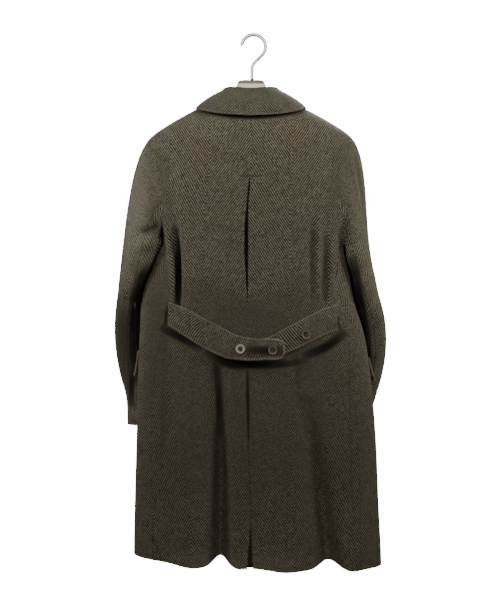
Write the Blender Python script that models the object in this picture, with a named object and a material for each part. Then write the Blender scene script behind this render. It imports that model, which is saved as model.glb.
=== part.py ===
"""Long double-breasted coat of heavy herringbone tweed, buttoned and hung on a plain hanger.

Metres, +Z up. The back of the coat faces +Y and the wearer's left is +X.
The origin is the inside top of the hook's crook, where a rail carries the hanger.
Girth round the body is given as a turn: 0 at centre back, 90 degrees at the side, 180 at centre front.
"""
import math

import bpy
import numpy as np

# Driving sizes
CLOTH = 0.0025            # wall of the tweed
DOUBLE_CLOTH = 0.003      # wall of collar, straps and flaps, which are two layers
SEAM_GAP = 0.0003         # clearance between sewn pieces
COAT_X = 0.0057           # the coat hangs this far to one side of the hook
NECK_Z = -0.131           # neck seam at the side of the neck
NECK_DROP = 0.019         # centre back and centre front of the neck lie this much lower
NECK_DROP_REACH = 0.085   # height over which that drop fades out below the neck
SHOULDER_Z = -0.225       # shoulder point, top of the armhole
UNDERARM_Z = -0.465       # bottom of the armhole
HEM_Z = -1.141            # mean height of the hem
HEM_TILT = 0.045          # the hem runs up towards the wearer's left
HEM_EASE_Z = -0.86        # below this height the rows follow the hem
FOLD_LIFT = 0.32          # a hollow fold lifts the hem by this share of its depth
PANEL_COLUMNS = 16        # columns of a back half
FRONT_COLUMNS = 12        # columns of a front half
FRONT_OVERLAP = 0.090     # each front reaches this far past the centre
BREAK_Z = -0.500          # where the lapels start to roll
ROLL_TOP_X = 0.046        # roll line at the neck
UNDER_INSET = 0.0046      # the right front lies this far inside the left
UNDER_EASE_X = 0.045      # it starts to draw in this far beyond the left front's edge
UNDER_EASE = 0.035        # and is fully drawn in over this width
LAPEL_RISE = 0.0055       # lapel above the front it lies on
LAPEL_ROOT = 0.001        # gap between the roll line and the lapel
LAPEL_CLEAR = 0.008       # the right lapel keeps this far off the left front's edge
LAPEL_LEAST = 0.006       # least width of a lapel
LAPEL_SWELL = 0.003       # outward swell of a lapel
PLEAT_TOP = -0.322        # pleat underlay: ends, half width and depth behind the back at its middle
PLEAT_END = -0.725
PLEAT_HALF = 0.024
PLEAT_SWELL = 0.007
VENT_TOP = -1.046         # vent underlap: ends, half width and depth behind the back at its ends
VENT_END = -1.140
VENT_HALF = 0.019
VENT_DEPTHS = (0.0036, 0.0075)
BUTTON_RADIUS = 0.0100
# Columns: share of the radius, height
BUTTON_SECTION = ((0.70, 0.0), (0.97, 0.0010), (1.00, 0.0024), (0.93, 0.0036), (0.78, 0.0038), (0.62, 0.0028))
FRONT_BUTTON_RADIUS = 0.0140
FRONT_BUTTON_X = 0.060
FRONT_BUTTON_HEIGHTS = (-0.535, -0.665, -0.795)
SLEEVE_CLEARANCE = 0.014  # the sleeve keeps this far off the body's side
HEAD_RISE = 0.075         # the sleeve leaves the armhole at least this strongly, under the arm too
HEAD_SHARE = 0.6          # or by this share of its way to the first oval
SLEEVE_BACK_SEAM = math.radians(98)    # seams between top and under sleeve, round from its outside
SLEEVE_FRONT_SEAM = math.radians(258)
HEAD_RINGS = 6            # rings between the armhole and the first oval of the sleeve
BAR_DEPTH_Y = 0.0070      # half thickness of the hanger bar
BAR_END_X = 0.205
BAR_ROUND = 0.6           # power of the bar's rounded oblong section
HOOK_RADIUS = 0.0262      # middle of the hook's ring
HOOK_WIRE = 0.0084        # flat width of the hook's wire
HOOK_WIRE_Y = 0.0052
HOOK_TURN_START = 177.0   # angle of the hook's tip
HOOK_TURN_END = -42.0     # the ring runs round to this angle, then bends into the stem
HOOK_TIP = 0.6            # share of the wire's width at the tip
HOOK_TAPER = 0.80         # share of the wire's width at the foot of the stem
BEND_LEAVE = 0.020        # how strongly the bend leaves the ring and meets the stem
BEND_ARRIVE = 0.014
STEM_X = COAT_X - 0.0022
STEM_TOP = -0.0720

# Horizontal sections of the body, top to hem: half widths, depths and how square the corner is
BODY_COLUMNS = ("z", "left", "right", "back", "front", "side_y", "power")
BODY = (
    (-0.131, 0.054, 0.054, 0.056, -0.048, 0.000, 2.00),
    (-0.147, 0.088, 0.088, 0.073, -0.063, 0.000, 2.00),
    (-0.163, 0.121, 0.121, 0.084, -0.074, 0.000, 2.00),
    (-0.182, 0.156, 0.157, 0.092, -0.082, 0.000, 2.00),
    (-0.201, 0.188, 0.189, 0.098, -0.088, 0.000, 2.00),
    (-0.215, 0.209, 0.210, 0.101, -0.092, 0.000, 2.00),
    (-0.225, 0.221, 0.221, 0.103, -0.094, 0.000, 2.00),
    (-0.300, 0.226, 0.226, 0.108, -0.104, 0.000, 2.10),
    (-0.400, 0.219, 0.217, 0.104, -0.110, 0.010, 2.20),
    (-0.465, 0.203, 0.201, 0.100, -0.112, 0.020, 2.30),
    (-0.520, 0.221, 0.212, 0.098, -0.114, 0.020, 2.30),
    (-0.585, 0.238, 0.224, 0.096, -0.116, 0.020, 2.30),
    (-0.645, 0.241, 0.243, 0.096, -0.118, 0.020, 2.30),
    (-0.735, 0.245, 0.258, 0.099, -0.120, 0.020, 2.30),
    (-0.865, 0.248, 0.270, 0.106, -0.122, 0.020, 2.30),
    (-1.020, 0.252, 0.277, 0.114, -0.124, 0.020, 2.30),
    (-1.141, 0.254, 0.283, 0.120, -0.126, 0.020, 2.30),
    (-1.200, 0.254, 0.284, 0.121, -0.126, 0.020, 2.30),
)

# Main folds: a hollow has a positive depth, a swell a negative one. Deepest half way down,
# so a fold that runs out at the hem ends below it. Side is 1 on the back and -1 on the front.
# Columns: name, x_top, x_end, half_width, depth, z_top, z_end, side
FOLDS = (
    ("left_hem_hollow", 0.064, 0.066, 0.019, 0.046, -0.70, -1.60, 1),
    ("left_hem_swell", 0.125, 0.130, 0.036, -0.014, -0.72, -1.58, 1),
    ("left_centre_swell", 0.028, 0.026, 0.018, -0.006, -0.80, -1.50, 1),
    ("right_centre_swell", -0.060, -0.080, 0.040, -0.012, -0.76, -1.54, 1),
    ("right_hem_hollow", -0.115, -0.218, 0.026, 0.042, -0.78, -1.52, 1),
    ("right_side_swell", -0.205, -0.225, 0.026, -0.008, -0.85, -1.45, 1),
    ("left_arm_hollow", 0.158, 0.156, 0.011, 0.010, -0.42, -0.62, 1),
    ("right_arm_hollow", -0.130, -0.122, 0.014, 0.005, -0.38, -0.60, 1),
    ("right_arm_second", -0.160, -0.150, 0.012, 0.005, -0.42, -0.62, 1),
    ("front_left_hollow", 0.130, 0.140, 0.026, 0.022, -0.80, -1.50, -1),
    ("front_left_swell", 0.190, 0.195, 0.030, -0.008, -0.80, -1.50, -1),
    ("front_right_hollow", -0.140, -0.155, 0.028, 0.020, -0.82, -1.48, -1),
    ("front_right_swell", -0.205, -0.210, 0.034, -0.008, -0.80, -1.50, -1),
)

# Rows of the panels that lie above and below the armhole
YOKE_ROWS = (-0.131, -0.147, -0.163, -0.182, -0.203)
SKIRT_ROWS = (-0.490, -0.520, -0.555, -0.590, -0.630, -0.680, -0.735, -0.795, -0.860,
              -0.920, -0.980, -1.040, -1.092, HEM_Z)

# Armhole: seam on the back by its distance from the centre, seam on the front by its turn
ARMHOLE_COLUMNS = ("z", "back_x", "front_turn")
ARMHOLE = (
    (-0.225, 0.2240, 90.0),
    (-0.240, 0.2145, 109.0),
    (-0.265, 0.2065, 121.0),
    (-0.295, 0.1990, 128.0),
    (-0.330, 0.1940, 132.0),
    (-0.370, 0.1900, 133.0),
    (-0.410, 0.1885, 131.0),
    (-0.440, 0.1880, 125.0),
    (-0.455, 0.1880, 114.0),
    (-0.462, 0.1885, 98.0),
)

# Side seam on the back, distance from the centre
SEAM_COLUMNS = ("z", "left", "right")
SIDE_SEAM = (
    (-0.465, 0.189, 0.190),
    (-0.520, 0.180, 0.182),
    (-0.584, 0.170, 0.175),
    (-0.640, 0.188, 0.197),
    (-0.730, 0.203, 0.214),
    (-0.800, 0.210, 0.219),
    (-0.900, 0.210, 0.227),
    (-1.040, 0.209, 0.231),
    (-1.200, 0.205, 0.232),
)

# Centre back: where the seam runs and how far the two halves part
CENTRE_COLUMNS = ("z", "lean", "opening")
CENTRE_BACK = (
    (-0.131, 0.0000, 0.0000),
    (-0.317, 0.0020, 0.0000),
    (-0.370, 0.0070, 0.0040),
    (-0.450, 0.0100, 0.0085),
    (-0.540, 0.0085, 0.0040),
    (-0.590, 0.0075, 0.0000),
    (-0.750, 0.0075, 0.0000),
    (-1.041, 0.0010, 0.0000),
    (-1.141, 0.0020, 0.0120),
    (-1.200, 0.0020, 0.0160),
)

# Ovals of the hanging sleeves below the armhole: outermost edge, thickness, middle, depth and turn
OVAL_COLUMNS = ("z", "outer_x", "thickness", "middle_y", "depth", "yaw")
SLEEVE_OVALS = {
    "left": (
        (-0.500, 0.2850, 0.096, -0.014, 0.160, 8.0),
        (-0.560, 0.2925, 0.097, -0.028, 0.158, 14.0),
        (-0.620, 0.3010, 0.100, -0.047, 0.156, 20.0),
        (-0.680, 0.3030, 0.104, -0.070, 0.152, 26.0),
        (-0.740, 0.2965, 0.104, -0.092, 0.148, 31.0),
        (-0.800, 0.2830, 0.098, -0.110, 0.145, 35.0),
        (-0.862, 0.2810, 0.089, -0.120, 0.142, 37.0),
    ),
    "right": (
        (-0.500, 0.2660, 0.094, -0.016, 0.158, 8.0),
        (-0.560, 0.2800, 0.097, -0.032, 0.157, 14.0),
        (-0.620, 0.2965, 0.099, -0.052, 0.155, 20.0),
        (-0.680, 0.3030, 0.105, -0.076, 0.152, 26.0),
        (-0.740, 0.2985, 0.106, -0.098, 0.148, 31.0),
        (-0.800, 0.2840, 0.101, -0.116, 0.145, 36.0),
        (-0.862, 0.2660, 0.092, -0.129, 0.142, 39.0),
    ),
}
SLEEVE_ROWS = (-0.500, -0.530, -0.560, -0.595, -0.630, -0.670, -0.710, -0.755, -0.800, -0.830, -0.862)

# Collar from centre back to its front end: place on the neck seam, stand, and where its edge lies
COLLAR_COLUMNS = ("turn", "stand", "lean", "edge_turn", "edge_z", "edge_off")
COLLAR = (
    (0.0, 0.0240, 0.0030, 0.0, -0.1923, 0.0085),
    (30.0, 0.0225, 0.0030, 20.0, -0.1880, 0.0080),
    (60.0, 0.0175, 0.0030, 45.0, -0.1760, 0.0060),
    (80.0, 0.0130, 0.0030, 72.0, -0.1640, 0.0046),
    (90.0, 0.0115, 0.0030, 92.0, -0.1620, 0.0042),
    (104.0, 0.0095, 0.0030, 115.0, -0.1720, 0.0050),
    (117.0, 0.0060, 0.0030, 135.0, -0.1880, 0.0055),
)
COLLAR_SECTIONS = 11      # sections between centre back and one front end
COLLAR_FOLD_RADIUS = 0.0034
COLLAR_LIFT = 0.0027      # the stand starts this far above the neck seam's middle line
COLLAR_BELLY = 0.0030     # outward swell of the fall

# Lapel, from the break up to its top edge: share of the roll line, reach past it and rise of its edge
LAPEL_COLUMNS = ("share", "reach", "edge_rise")
LAPEL = (
    (0.03, 0.010, 0.000),
    (0.20, 0.036, 0.000),
    (0.40, 0.062, 0.000),
    (0.60, 0.086, -0.002),
    (0.75, 0.100, -0.010),
    (0.86, 0.094, -0.032),
    (0.97, 0.071, -0.058),
)
LAPEL_ROWS = 11

# Half belt straps along their length: edges and stand-off from the back
BELT_COLUMNS = ("x", "top", "bottom", "off")
BELT_LEFT = (
    (0.1755, -0.5835, -0.6330, 0.0034),
    (0.1400, -0.5960, -0.6560, 0.0050),
    (0.0955, -0.6194, -0.6830, 0.0085),
    (0.0600, -0.6380, -0.6990, 0.0120),
    (0.0274, -0.6540, -0.7060, 0.0145),
    (0.0050, -0.6590, -0.7075, 0.0150),
    (-0.0300, -0.6612, -0.7060, 0.0140),
    (-0.0590, -0.6632, -0.7040, 0.0125),
    (-0.0670, -0.6670, -0.7005, 0.0120),
    (-0.0705, -0.6740, -0.6935, 0.0118),
)
BELT_RIGHT = (
    (-0.1825, -0.5900, -0.6430, 0.0034),
    (-0.1500, -0.5990, -0.6570, 0.0045),
    (-0.1100, -0.6190, -0.6760, 0.0065),
    (-0.0700, -0.6400, -0.6930, 0.0078),
    (-0.0350, -0.6580, -0.7010, 0.0085),
    (0.0000, -0.6630, -0.7040, 0.0088),
    (0.0400, -0.6580, -0.6990, 0.0075),
)
BELT_STATIONS = 17
# Columns: strap, x, z
BELT_BUTTONS = (("left", 0.0221, -0.6823), ("left", -0.0449, -0.6848), ("right", -0.1153, -0.6530))

# Pocket flaps on the front's side: turns of the rear and front ends, heights, flare of the rear corner
# Columns: side, rear_turn, front_turn, top, bottom, flare
FLAPS = (
    ("left", 86.0, 138.0, -0.690, -0.745, 0.0040),
    ("right", 88.0, 138.0, -0.705, -0.756, 0.0045),
)

# Hanger bar from the middle outwards: top edge and height
# Columns: x, top, height
BAR_MIDDLE = (
    (0.000, -0.0955, 0.075),
    (0.020, -0.0960, 0.074),
    (0.029, -0.1000, 0.068),
    (0.0325, -0.1080, 0.058),
    (0.037, -0.1240, 0.041),
    (0.046, -0.1300, 0.036),
)
BAR_OUTER_X = (0.064, 0.090, 0.120, 0.150, 0.180, 0.198)
BAR_SEAT = 0.0034         # bar top below the middle of the shoulder cloth
BAR_END_HEIGHT = 0.024

LEFT = 1
RIGHT = -1
SIDES = {"left": LEFT, "right": RIGHT}


def column(rows, columns, name, at):
    """Smooth value of one named column of a table at positions of its first column."""
    ordered = sorted(rows)
    place = np.array([row[0] for row in ordered], dtype=float)
    value = np.array([row[columns.index(name)] for row in ordered], dtype=float)
    slope = np.gradient(value, place)
    at = np.clip(np.asarray(at, dtype=float), place[0], place[-1])
    cell = np.clip(np.searchsorted(place, at) - 1, 0, len(place) - 2)
    span = place[cell + 1] - place[cell]
    t = (at - place[cell]) / span
    start = (2 * t**3 - 3 * t**2 + 1) * value[cell] + (t**3 - 2 * t**2 + t) * span * slope[cell]
    end = (3 * t**2 - 2 * t**3) * value[cell + 1] + (t**3 - t**2) * span * slope[cell + 1]
    return start + end


def unit(vectors):
    """Vectors scaled to length one."""
    return vectors / np.linalg.norm(vectors, axis=-1, keepdims=True)


def smooth_step(t):
    """Ease from 0 to 1."""
    t = np.clip(t, 0.0, 1.0)
    return t * t * (3 - 2 * t)


def half_width(x, z):
    """Half width of the body on the side where x lies."""
    left = column(BODY, BODY_COLUMNS, "left", z)
    right = column(BODY, BODY_COLUMNS, "right", z)
    return np.where(x >= 0, left, right)


def fold_depth(x, z, facing):
    """Depth of all folds at a place, faded out towards the sides of the body."""
    total = np.zeros(np.broadcast(x, z).shape)
    for _, x_top, x_end, width, depth, z_top, z_end, side in FOLDS:
        t = (z_top - z) / (z_top - z_end)
        strength = np.where((t > 0) & (t < 1), np.sin(np.pi * np.clip(t, 0, 1)), 0.0)
        centre = x_top + (x_end - x_top) * t
        across = np.exp(-((x - centre) / width) ** 2)
        fade = smooth_step(facing * side * 2.0)
        total = total + depth * strength * across * fade
    return total


def body(turn, z):
    """Middle of the body's cloth at a turn (radians) and a row height."""
    turn, z = np.broadcast_arrays(np.asarray(turn, dtype=float), np.asarray(z, dtype=float))
    across, facing = np.sin(turn), np.cos(turn)
    sharp = 2.0 / column(BODY, BODY_COLUMNS, "power", z)
    x = half_width(across, z) * np.sign(across) * np.abs(across) ** sharp
    side_y = column(BODY, BODY_COLUMNS, "side_y", z)
    depth_back = column(BODY, BODY_COLUMNS, "back", z) - side_y
    depth_front = side_y - column(BODY, BODY_COLUMNS, "front", z)
    depth = np.where(facing >= 0, depth_back, depth_front)
    fold = fold_depth(x, z, facing)
    y = side_y + depth * np.sign(facing) * np.abs(facing) ** sharp - np.sign(facing) * fold
    neck = np.clip(1 - (NECK_Z - z) / NECK_DROP_REACH, 0, 1) ** 2
    hem = np.clip((HEM_EASE_Z - z) / (HEM_EASE_Z - HEM_Z), 0, 1) ** 2
    height = z - NECK_DROP * neck * facing**2 + hem * (HEM_TILT * x + FOLD_LIFT * fold)
    return np.stack([x + COAT_X, y, height], axis=-1)


def body_normal(turn, z, step=1e-4):
    """Outward direction of the body's cloth."""
    turn, z = np.broadcast_arrays(np.asarray(turn, dtype=float), np.asarray(z, dtype=float))
    up = body(turn, np.minimum(z + step, NECK_Z)) - body(turn, z - step)
    around = body(turn + step, z) - body(turn - step, z)
    return unit(np.cross(up, around))


def turn_at(x, z, front=False):
    """Turn of the body at a distance x from its centre line, on the back or on the front."""
    x = np.asarray(x, dtype=float)
    power = column(BODY, BODY_COLUMNS, "power", z)
    share = np.clip(np.abs(x) / half_width(x, z), 0.0, 1.0)
    angle = np.sign(x) * np.arcsin(share ** (power / 2.0))
    return np.pi - angle if front else angle


def wall(name, points, normals, thickness, material):
    """Closed cloth wall: the grid moved out and in by half its thickness, with rims."""
    rows, columns = points.shape[:2]
    count = rows * columns
    outer = points + normals * thickness / 2
    inner = points - normals * thickness / 2
    vertices = np.concatenate([outer.reshape(-1, 3), inner.reshape(-1, 3)])
    top = np.arange(count).reshape(rows, columns)
    low = top + count
    faces = [
        np.stack([top[:-1, :-1], top[:-1, 1:], top[1:, 1:], top[1:, :-1]], -1).reshape(-1, 4),
        np.stack([low[:-1, :-1], low[1:, :-1], low[1:, 1:], low[:-1, 1:]], -1).reshape(-1, 4),
    ]
    border = np.concatenate([top[0, :-1], top[:-1, -1], top[-1, :0:-1], top[:0:-1, 0]])
    after = np.roll(border, -1)
    faces.append(np.stack([after, border, border + count, after + count], -1))
    faces = np.concatenate(faces)
    along = points[1:, :-1] - points[:-1, :-1]
    across = points[:-1, 1:] - points[:-1, :-1]
    if np.sum(np.cross(across, along) * normals[:-1, :-1]) < 0:
        faces = faces[:, ::-1]
    return add_mesh(name, vertices, faces.tolist(), material)


def tube(name, rings, material):
    """Closed solid through rings of points, with flat ends."""
    count, around = rings.shape[:2]
    index = np.arange(count * around).reshape(count, around)
    after = np.roll(index, -1, axis=1)
    sides = np.stack([index[:-1], after[:-1], after[1:], index[1:]], -1).reshape(-1, 4)
    faces = sides.tolist() + [index[0, ::-1].tolist(), index[-1].tolist()]
    centre = rings.mean(axis=1, keepdims=True)
    cell = np.cross(rings[0, 1] - rings[0, 0], rings[1, 0] - rings[0, 0])
    if np.dot(cell, (rings - centre)[0, 0]) < 0:
        faces = [face[::-1] for face in faces]
    return add_mesh(name, rings.reshape(-1, 3), faces, material)


def add_mesh(name, vertices, faces, material):
    """Object from vertices and faces."""
    mesh = bpy.data.meshes.new(name)
    mesh.from_pydata([tuple(vertex) for vertex in vertices.tolist()], [], faces)
    mesh.update()
    mesh.shade_smooth()
    mesh.set_sharp_from_angle(angle=math.radians(50))
    mesh.materials.append(material)
    made = bpy.data.objects.new(name, mesh)
    bpy.context.scene.collection.objects.link(made)
    return made


def grid_normals(points, ring=False):
    """Normals of a grid from the steps between neighbouring rows and columns."""
    along = np.gradient(points, axis=0)
    if ring:
        across = np.roll(points, -1, axis=1) - np.roll(points, 1, axis=1)
    else:
        across = np.gradient(points, axis=1)
    return unit(np.cross(along, across))


def outward(path, normals, towards):
    """Direction in the cloth, square to an edge, on the side of the given points."""
    sideways = unit(np.cross(normals, np.gradient(path, axis=0)))
    sign = np.sign(np.sum(sideways * (towards - path), axis=-1, keepdims=True))
    return sideways * np.where(sign == 0, 1, sign)


def rows_of_body():
    """Row heights from the neck to the hem, with those of the armhole between."""
    arm = [row[0] for row in ARMHOLE] + [UNDERARM_Z]
    return np.array(list(YOKE_ROWS) + arm + list(SKIRT_ROWS))


def outer_turns(z, side, front):
    """Turn of a panel's outer edge: shoulder seam, armhole, then side seam."""
    turns = []
    for height in z:
        if height >= SHOULDER_Z - 1e-9:
            turns.append(math.pi / 2)
        elif height > UNDERARM_Z + 1e-9 and front:
            turns.append(math.radians(float(column(ARMHOLE, ARMHOLE_COLUMNS, "front_turn", height))))
        elif height > UNDERARM_Z + 1e-9:
            x = column(ARMHOLE, ARMHOLE_COLUMNS, "back_x", height) * side
            turns.append(abs(float(turn_at(x, height))))
        else:
            name = "left" if side == LEFT else "right"
            x = column(SIDE_SEAM, SEAM_COLUMNS, name, height) * side
            turns.append(abs(float(turn_at(x, height))))
    return np.array(turns)


def even_turns(start, end, z, side, count):
    """Turns from one edge to the other, evenly spaced by girth on each row."""
    share = np.linspace(0, 1, 61)
    fine = start[:, None] + (end - start)[:, None] * share
    points = body(fine * side, z[:, None] + 0 * fine)
    steps = np.linalg.norm(np.diff(points, axis=1), axis=-1)
    girth = np.concatenate([np.zeros((len(z), 1)), np.cumsum(steps, axis=1)], axis=1)
    even = np.linspace(0, 1, count)
    return np.array([np.interp(even * row[-1], row, turns) for row, turns in zip(girth, fine)])


def pull_edges(points, normals, first=True, last=True, gap=SEAM_GAP):
    """Draw the first and last columns back by half a seam gap."""
    pulled = points.copy()
    if first:
        pulled[:, 0] += outward(points[:, 0], normals[:, 0], points[:, 1]) * gap / 2
    if last:
        pulled[:, -1] += outward(points[:, -1], normals[:, -1], points[:, -2]) * gap / 2
    return pulled


def build_back(name, side, material):
    """Half of the back, from the centre back seam to shoulder, armhole and side seam."""
    z = rows_of_body()
    lean = column(CENTRE_BACK, CENTRE_COLUMNS, "lean", z)
    opening = np.maximum(column(CENTRE_BACK, CENTRE_COLUMNS, "opening", z), 0)
    start = turn_at(lean + side * opening / 2, z) * side
    end = outer_turns(z, side, front=False)
    turns = even_turns(start, end, z, side, PANEL_COLUMNS) * side
    heights = np.repeat(z[:, None], PANEL_COLUMNS, axis=1)
    normals = body_normal(turns, heights)
    points = pull_edges(body(turns, heights), normals)
    return wall(name, points, normals, CLOTH, material)


def front_edge_x(z):
    """Front edge of a front half, past the centre below the break and on the roll line above it."""
    roll = np.clip((z - BREAK_Z) / (NECK_Z - BREAK_Z), 0, 1)
    return -FRONT_OVERLAP + (FRONT_OVERLAP + ROLL_TOP_X) * roll


def front_surface(turns, z, side):
    """Middle of a front half's cloth, with the right one drawn in where the left one covers it."""
    points = body(turns * side, z)
    normals = body_normal(turns * side, z)
    if side == RIGHT:
        covered = smooth_step((points[..., 0] - COAT_X + FRONT_OVERLAP + UNDER_EASE_X) / UNDER_EASE)
        front = smooth_step(-np.cos(turns) * 3.0)
        points = points - normals * (UNDER_INSET * covered * front)[..., None]
    return points, normals


def mirrored_front_turn(x, z, side):
    """Turn counted towards the given side, so that both fronts use the same signs."""
    power = column(BODY, BODY_COLUMNS, "power", z)
    share = np.abs(x) / half_width(x * side, z)
    return np.pi - np.sign(x) * np.arcsin(np.clip(share, 0, 1) ** (power / 2.0))


def build_front(name, side, material):
    """Half of the front, from side seam, armhole and shoulder to its front edge."""
    z = rows_of_body()
    start = outer_turns(z, side, front=True)
    end = mirrored_front_turn(front_edge_x(z), z, side)
    turns = even_turns(start, end, z, side, FRONT_COLUMNS)
    heights = np.repeat(z[:, None], FRONT_COLUMNS, axis=1)
    points, normals = front_surface(turns, heights, side)
    points = pull_edges(points, normals, last=False)
    return wall(name, points, normals, CLOTH, material)


def build_behind(name, z, half, depths, material):
    """Strip of cloth behind the centre back, at a given depth inside the back."""
    lean = column(CENTRE_BACK, CENTRE_COLUMNS, "lean", z)
    x = lean[:, None] + np.linspace(-half, half, 5)
    heights = z[:, None] + 0 * x
    turns = turn_at(x, heights)
    normals = body_normal(turns, heights)
    points = body(turns, heights) - normals * depths[:, None, None]
    return wall(name, points, normals, CLOTH, material)


def build_lapel(name, side, material):
    """Lapel lying on its front, between the roll line and the lapel's outer edge."""
    share = np.linspace(LAPEL[0][0], LAPEL[-1][0], LAPEL_ROWS)
    z = BREAK_Z + (NECK_Z - BREAK_Z) * share
    reach = column(LAPEL, LAPEL_COLUMNS, "reach", share)
    rise = column(LAPEL, LAPEL_COLUMNS, "edge_rise", share)
    inner = front_edge_x(z) + LAPEL_ROOT
    edge = front_edge_x(z) + reach
    if side == RIGHT:
        inner = np.maximum(inner, LAPEL_CLEAR - front_edge_x(z))
        edge = np.maximum(edge, inner + LAPEL_LEAST)
    across = np.linspace(0, 1, 5)
    x = inner[:, None] + (edge - inner)[:, None] * across
    heights = z[:, None] + rise[:, None] * across
    turns = mirrored_front_turn(x, heights, side)
    points, normals = front_surface(turns, heights, side)
    swell = LAPEL_RISE + LAPEL_SWELL * np.sin(np.pi * across)
    points = points + normals * swell[None, :, None]
    return wall(name, points, normals, CLOTH, material)


def build_collar(name, material):
    """Turned-over collar: a stand on the neck seam, a round fold and a fall over the shoulders."""
    top = COLLAR[-1][0]
    turn = np.linspace(-top, top, 2 * COLLAR_SECTIONS - 1)
    side = np.where(turn < 0, -1.0, 1.0)
    at = np.abs(turn)
    stand = column(COLLAR, COLLAR_COLUMNS, "stand", at)
    lean = column(COLLAR, COLLAR_COLUMNS, "lean", at)
    edge_turn = np.radians(column(COLLAR, COLLAR_COLUMNS, "edge_turn", at)) * side
    edge_z = column(COLLAR, COLLAR_COLUMNS, "edge_z", at)
    edge_off = column(COLLAR, COLLAR_COLUMNS, "edge_off", at)
    seam = body(np.radians(turn), NECK_Z + 0 * turn)
    out = body_normal(np.radians(turn), NECK_Z + 0 * turn) * np.array([1.0, 1.0, 0.0])
    out = unit(out)
    up = np.array([0.0, 0.0, 1.0])
    edge = body(edge_turn, edge_z) + body_normal(edge_turn, edge_z) * edge_off[:, None]
    radius = COLLAR_FOLD_RADIUS
    foot = seam + up * COLLAR_LIFT
    head = seam + out * lean[:, None] + up * np.maximum(stand - radius, COLLAR_LIFT + 0.001)[:, None]
    middle = head + out * radius
    profile = [foot, (foot + head) / 2]
    for angle in np.radians([0, 45, 90, 135, 180]):
        profile.append(middle - out * radius * math.cos(angle) + up * radius * math.sin(angle))
    shoulder = profile[-1]
    fall = unit(edge - shoulder)
    swell = unit(np.cross(np.gradient(seam, axis=0), fall))
    swell = swell * np.sign(np.sum(swell * (out + up), axis=-1, keepdims=True))
    for t in (0.2, 0.4, 0.6, 0.8, 1.0):
        bulge = COLLAR_BELLY * math.sin(math.pi * t)
        profile.append(shoulder + (edge - shoulder) * t + swell * bulge)
    points = np.stack(profile, axis=1)
    return wall(name, points, grid_normals(points), DOUBLE_CLOTH, material)


def armhole_ring(side):
    """Armhole from the shoulder point down the back, under the arm and up the front."""
    z = np.array([row[0] for row in ARMHOLE] + [UNDERARM_Z])
    back = outer_turns(z, side, front=False)
    front = outer_turns(z, side, front=True)
    turns = np.concatenate([back, front[-2:0:-1]]) * side
    heights = np.concatenate([z, z[-2:0:-1]])
    return turns, heights


def clear_of_body(points, gap):
    """Points moved straight out from the body's axis where they would touch its side."""
    z = points[..., 2]
    x = points[..., 0] - COAT_X
    width = half_width(x, z) + gap
    side_y = column(BODY, BODY_COLUMNS, "side_y", z)
    back = column(BODY, BODY_COLUMNS, "back", z) - side_y + gap
    front = side_y - column(BODY, BODY_COLUMNS, "front", z) + gap
    y = points[..., 1] - side_y
    power = column(BODY, BODY_COLUMNS, "power", z)
    inside = (np.abs(x) / width) ** power + (np.abs(y) / np.where(y >= 0, back, front)) ** power
    grow = np.where(inside < 1, inside ** (-1 / power), 1.0)
    return np.stack([x * grow + COAT_X, y * grow + side_y, z], axis=-1)


def sleeve_grid(name):
    """Points and normals of a whole sleeve: rings from the armhole to the cuff."""
    side = SIDES[name]
    rows = SLEEVE_OVALS[name]
    turns, heights = armhole_ring(side)
    ring = body(turns, heights)
    ring_normals = body_normal(turns, heights)
    loop = np.concatenate([ring[-1:], ring, ring[:1]])
    sideways = unit(np.cross(ring_normals, loop[2:] - loop[:-2]))
    middle_turn = 0.5 * math.pi * side
    hollow = body(middle_turn, 0.5 * (SHOULDER_Z + UNDERARM_Z))
    sideways = sideways * np.sign(np.sum(sideways * (hollow - ring), axis=-1, keepdims=True))
    steps = np.linalg.norm(np.diff(np.concatenate([ring, ring[:1]]), axis=0), axis=-1)
    angle = 2 * np.pi * np.concatenate([[0], np.cumsum(steps)[:-1]]) / steps.sum()

    def oval(z):
        """Horizontal section of the hanging sleeve, outermost point first, then its back."""
        half = float(column(rows, OVAL_COLUMNS, "thickness", z)) / 2
        deep = float(column(rows, OVAL_COLUMNS, "depth", z)) / 2
        yaw = math.radians(float(column(rows, OVAL_COLUMNS, "yaw", z)))
        reach = math.hypot(half * math.cos(yaw), deep * math.sin(yaw))
        centre_x = float(column(rows, OVAL_COLUMNS, "outer_x", z)) - reach
        centre_y = float(column(rows, OVAL_COLUMNS, "middle_y", z))
        u, v = half * np.cos(angle), deep * np.sin(angle)
        x = centre_x + u * math.cos(yaw) + v * math.sin(yaw)
        y = centre_y - u * math.sin(yaw) + v * math.cos(yaw)
        points = np.stack([COAT_X + side * x, y, np.full_like(x, z)], axis=-1)
        return clear_of_body(points, SLEEVE_CLEARANCE)

    ovals = [oval(z) for z in SLEEVE_ROWS]
    start = ring + sideways * SEAM_GAP
    span = np.linalg.norm(ovals[0] - start, axis=-1, keepdims=True)
    leave = sideways * np.maximum(span * HEAD_SHARE, HEAD_RISE)
    arrive = unit(ovals[1] - ovals[0]) * span
    rings = [start]
    for step in range(1, HEAD_RINGS):
        t = step / HEAD_RINGS
        point = (2 * t**3 - 3 * t**2 + 1) * start + (t**3 - 2 * t**2 + t) * leave
        point = point + (3 * t**2 - 2 * t**3) * ovals[0] + (t**3 - t**2) * arrive
        rings.append(point)
    points = np.stack(rings + ovals)
    normals = grid_normals(points, ring=True)
    centre = points.mean(axis=1, keepdims=True)
    if np.sum(normals[HEAD_RINGS:] * (points - centre)[HEAD_RINGS:]) < 0:
        normals = -normals
    normals[0] = ring_normals
    return points, normals, angle


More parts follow.
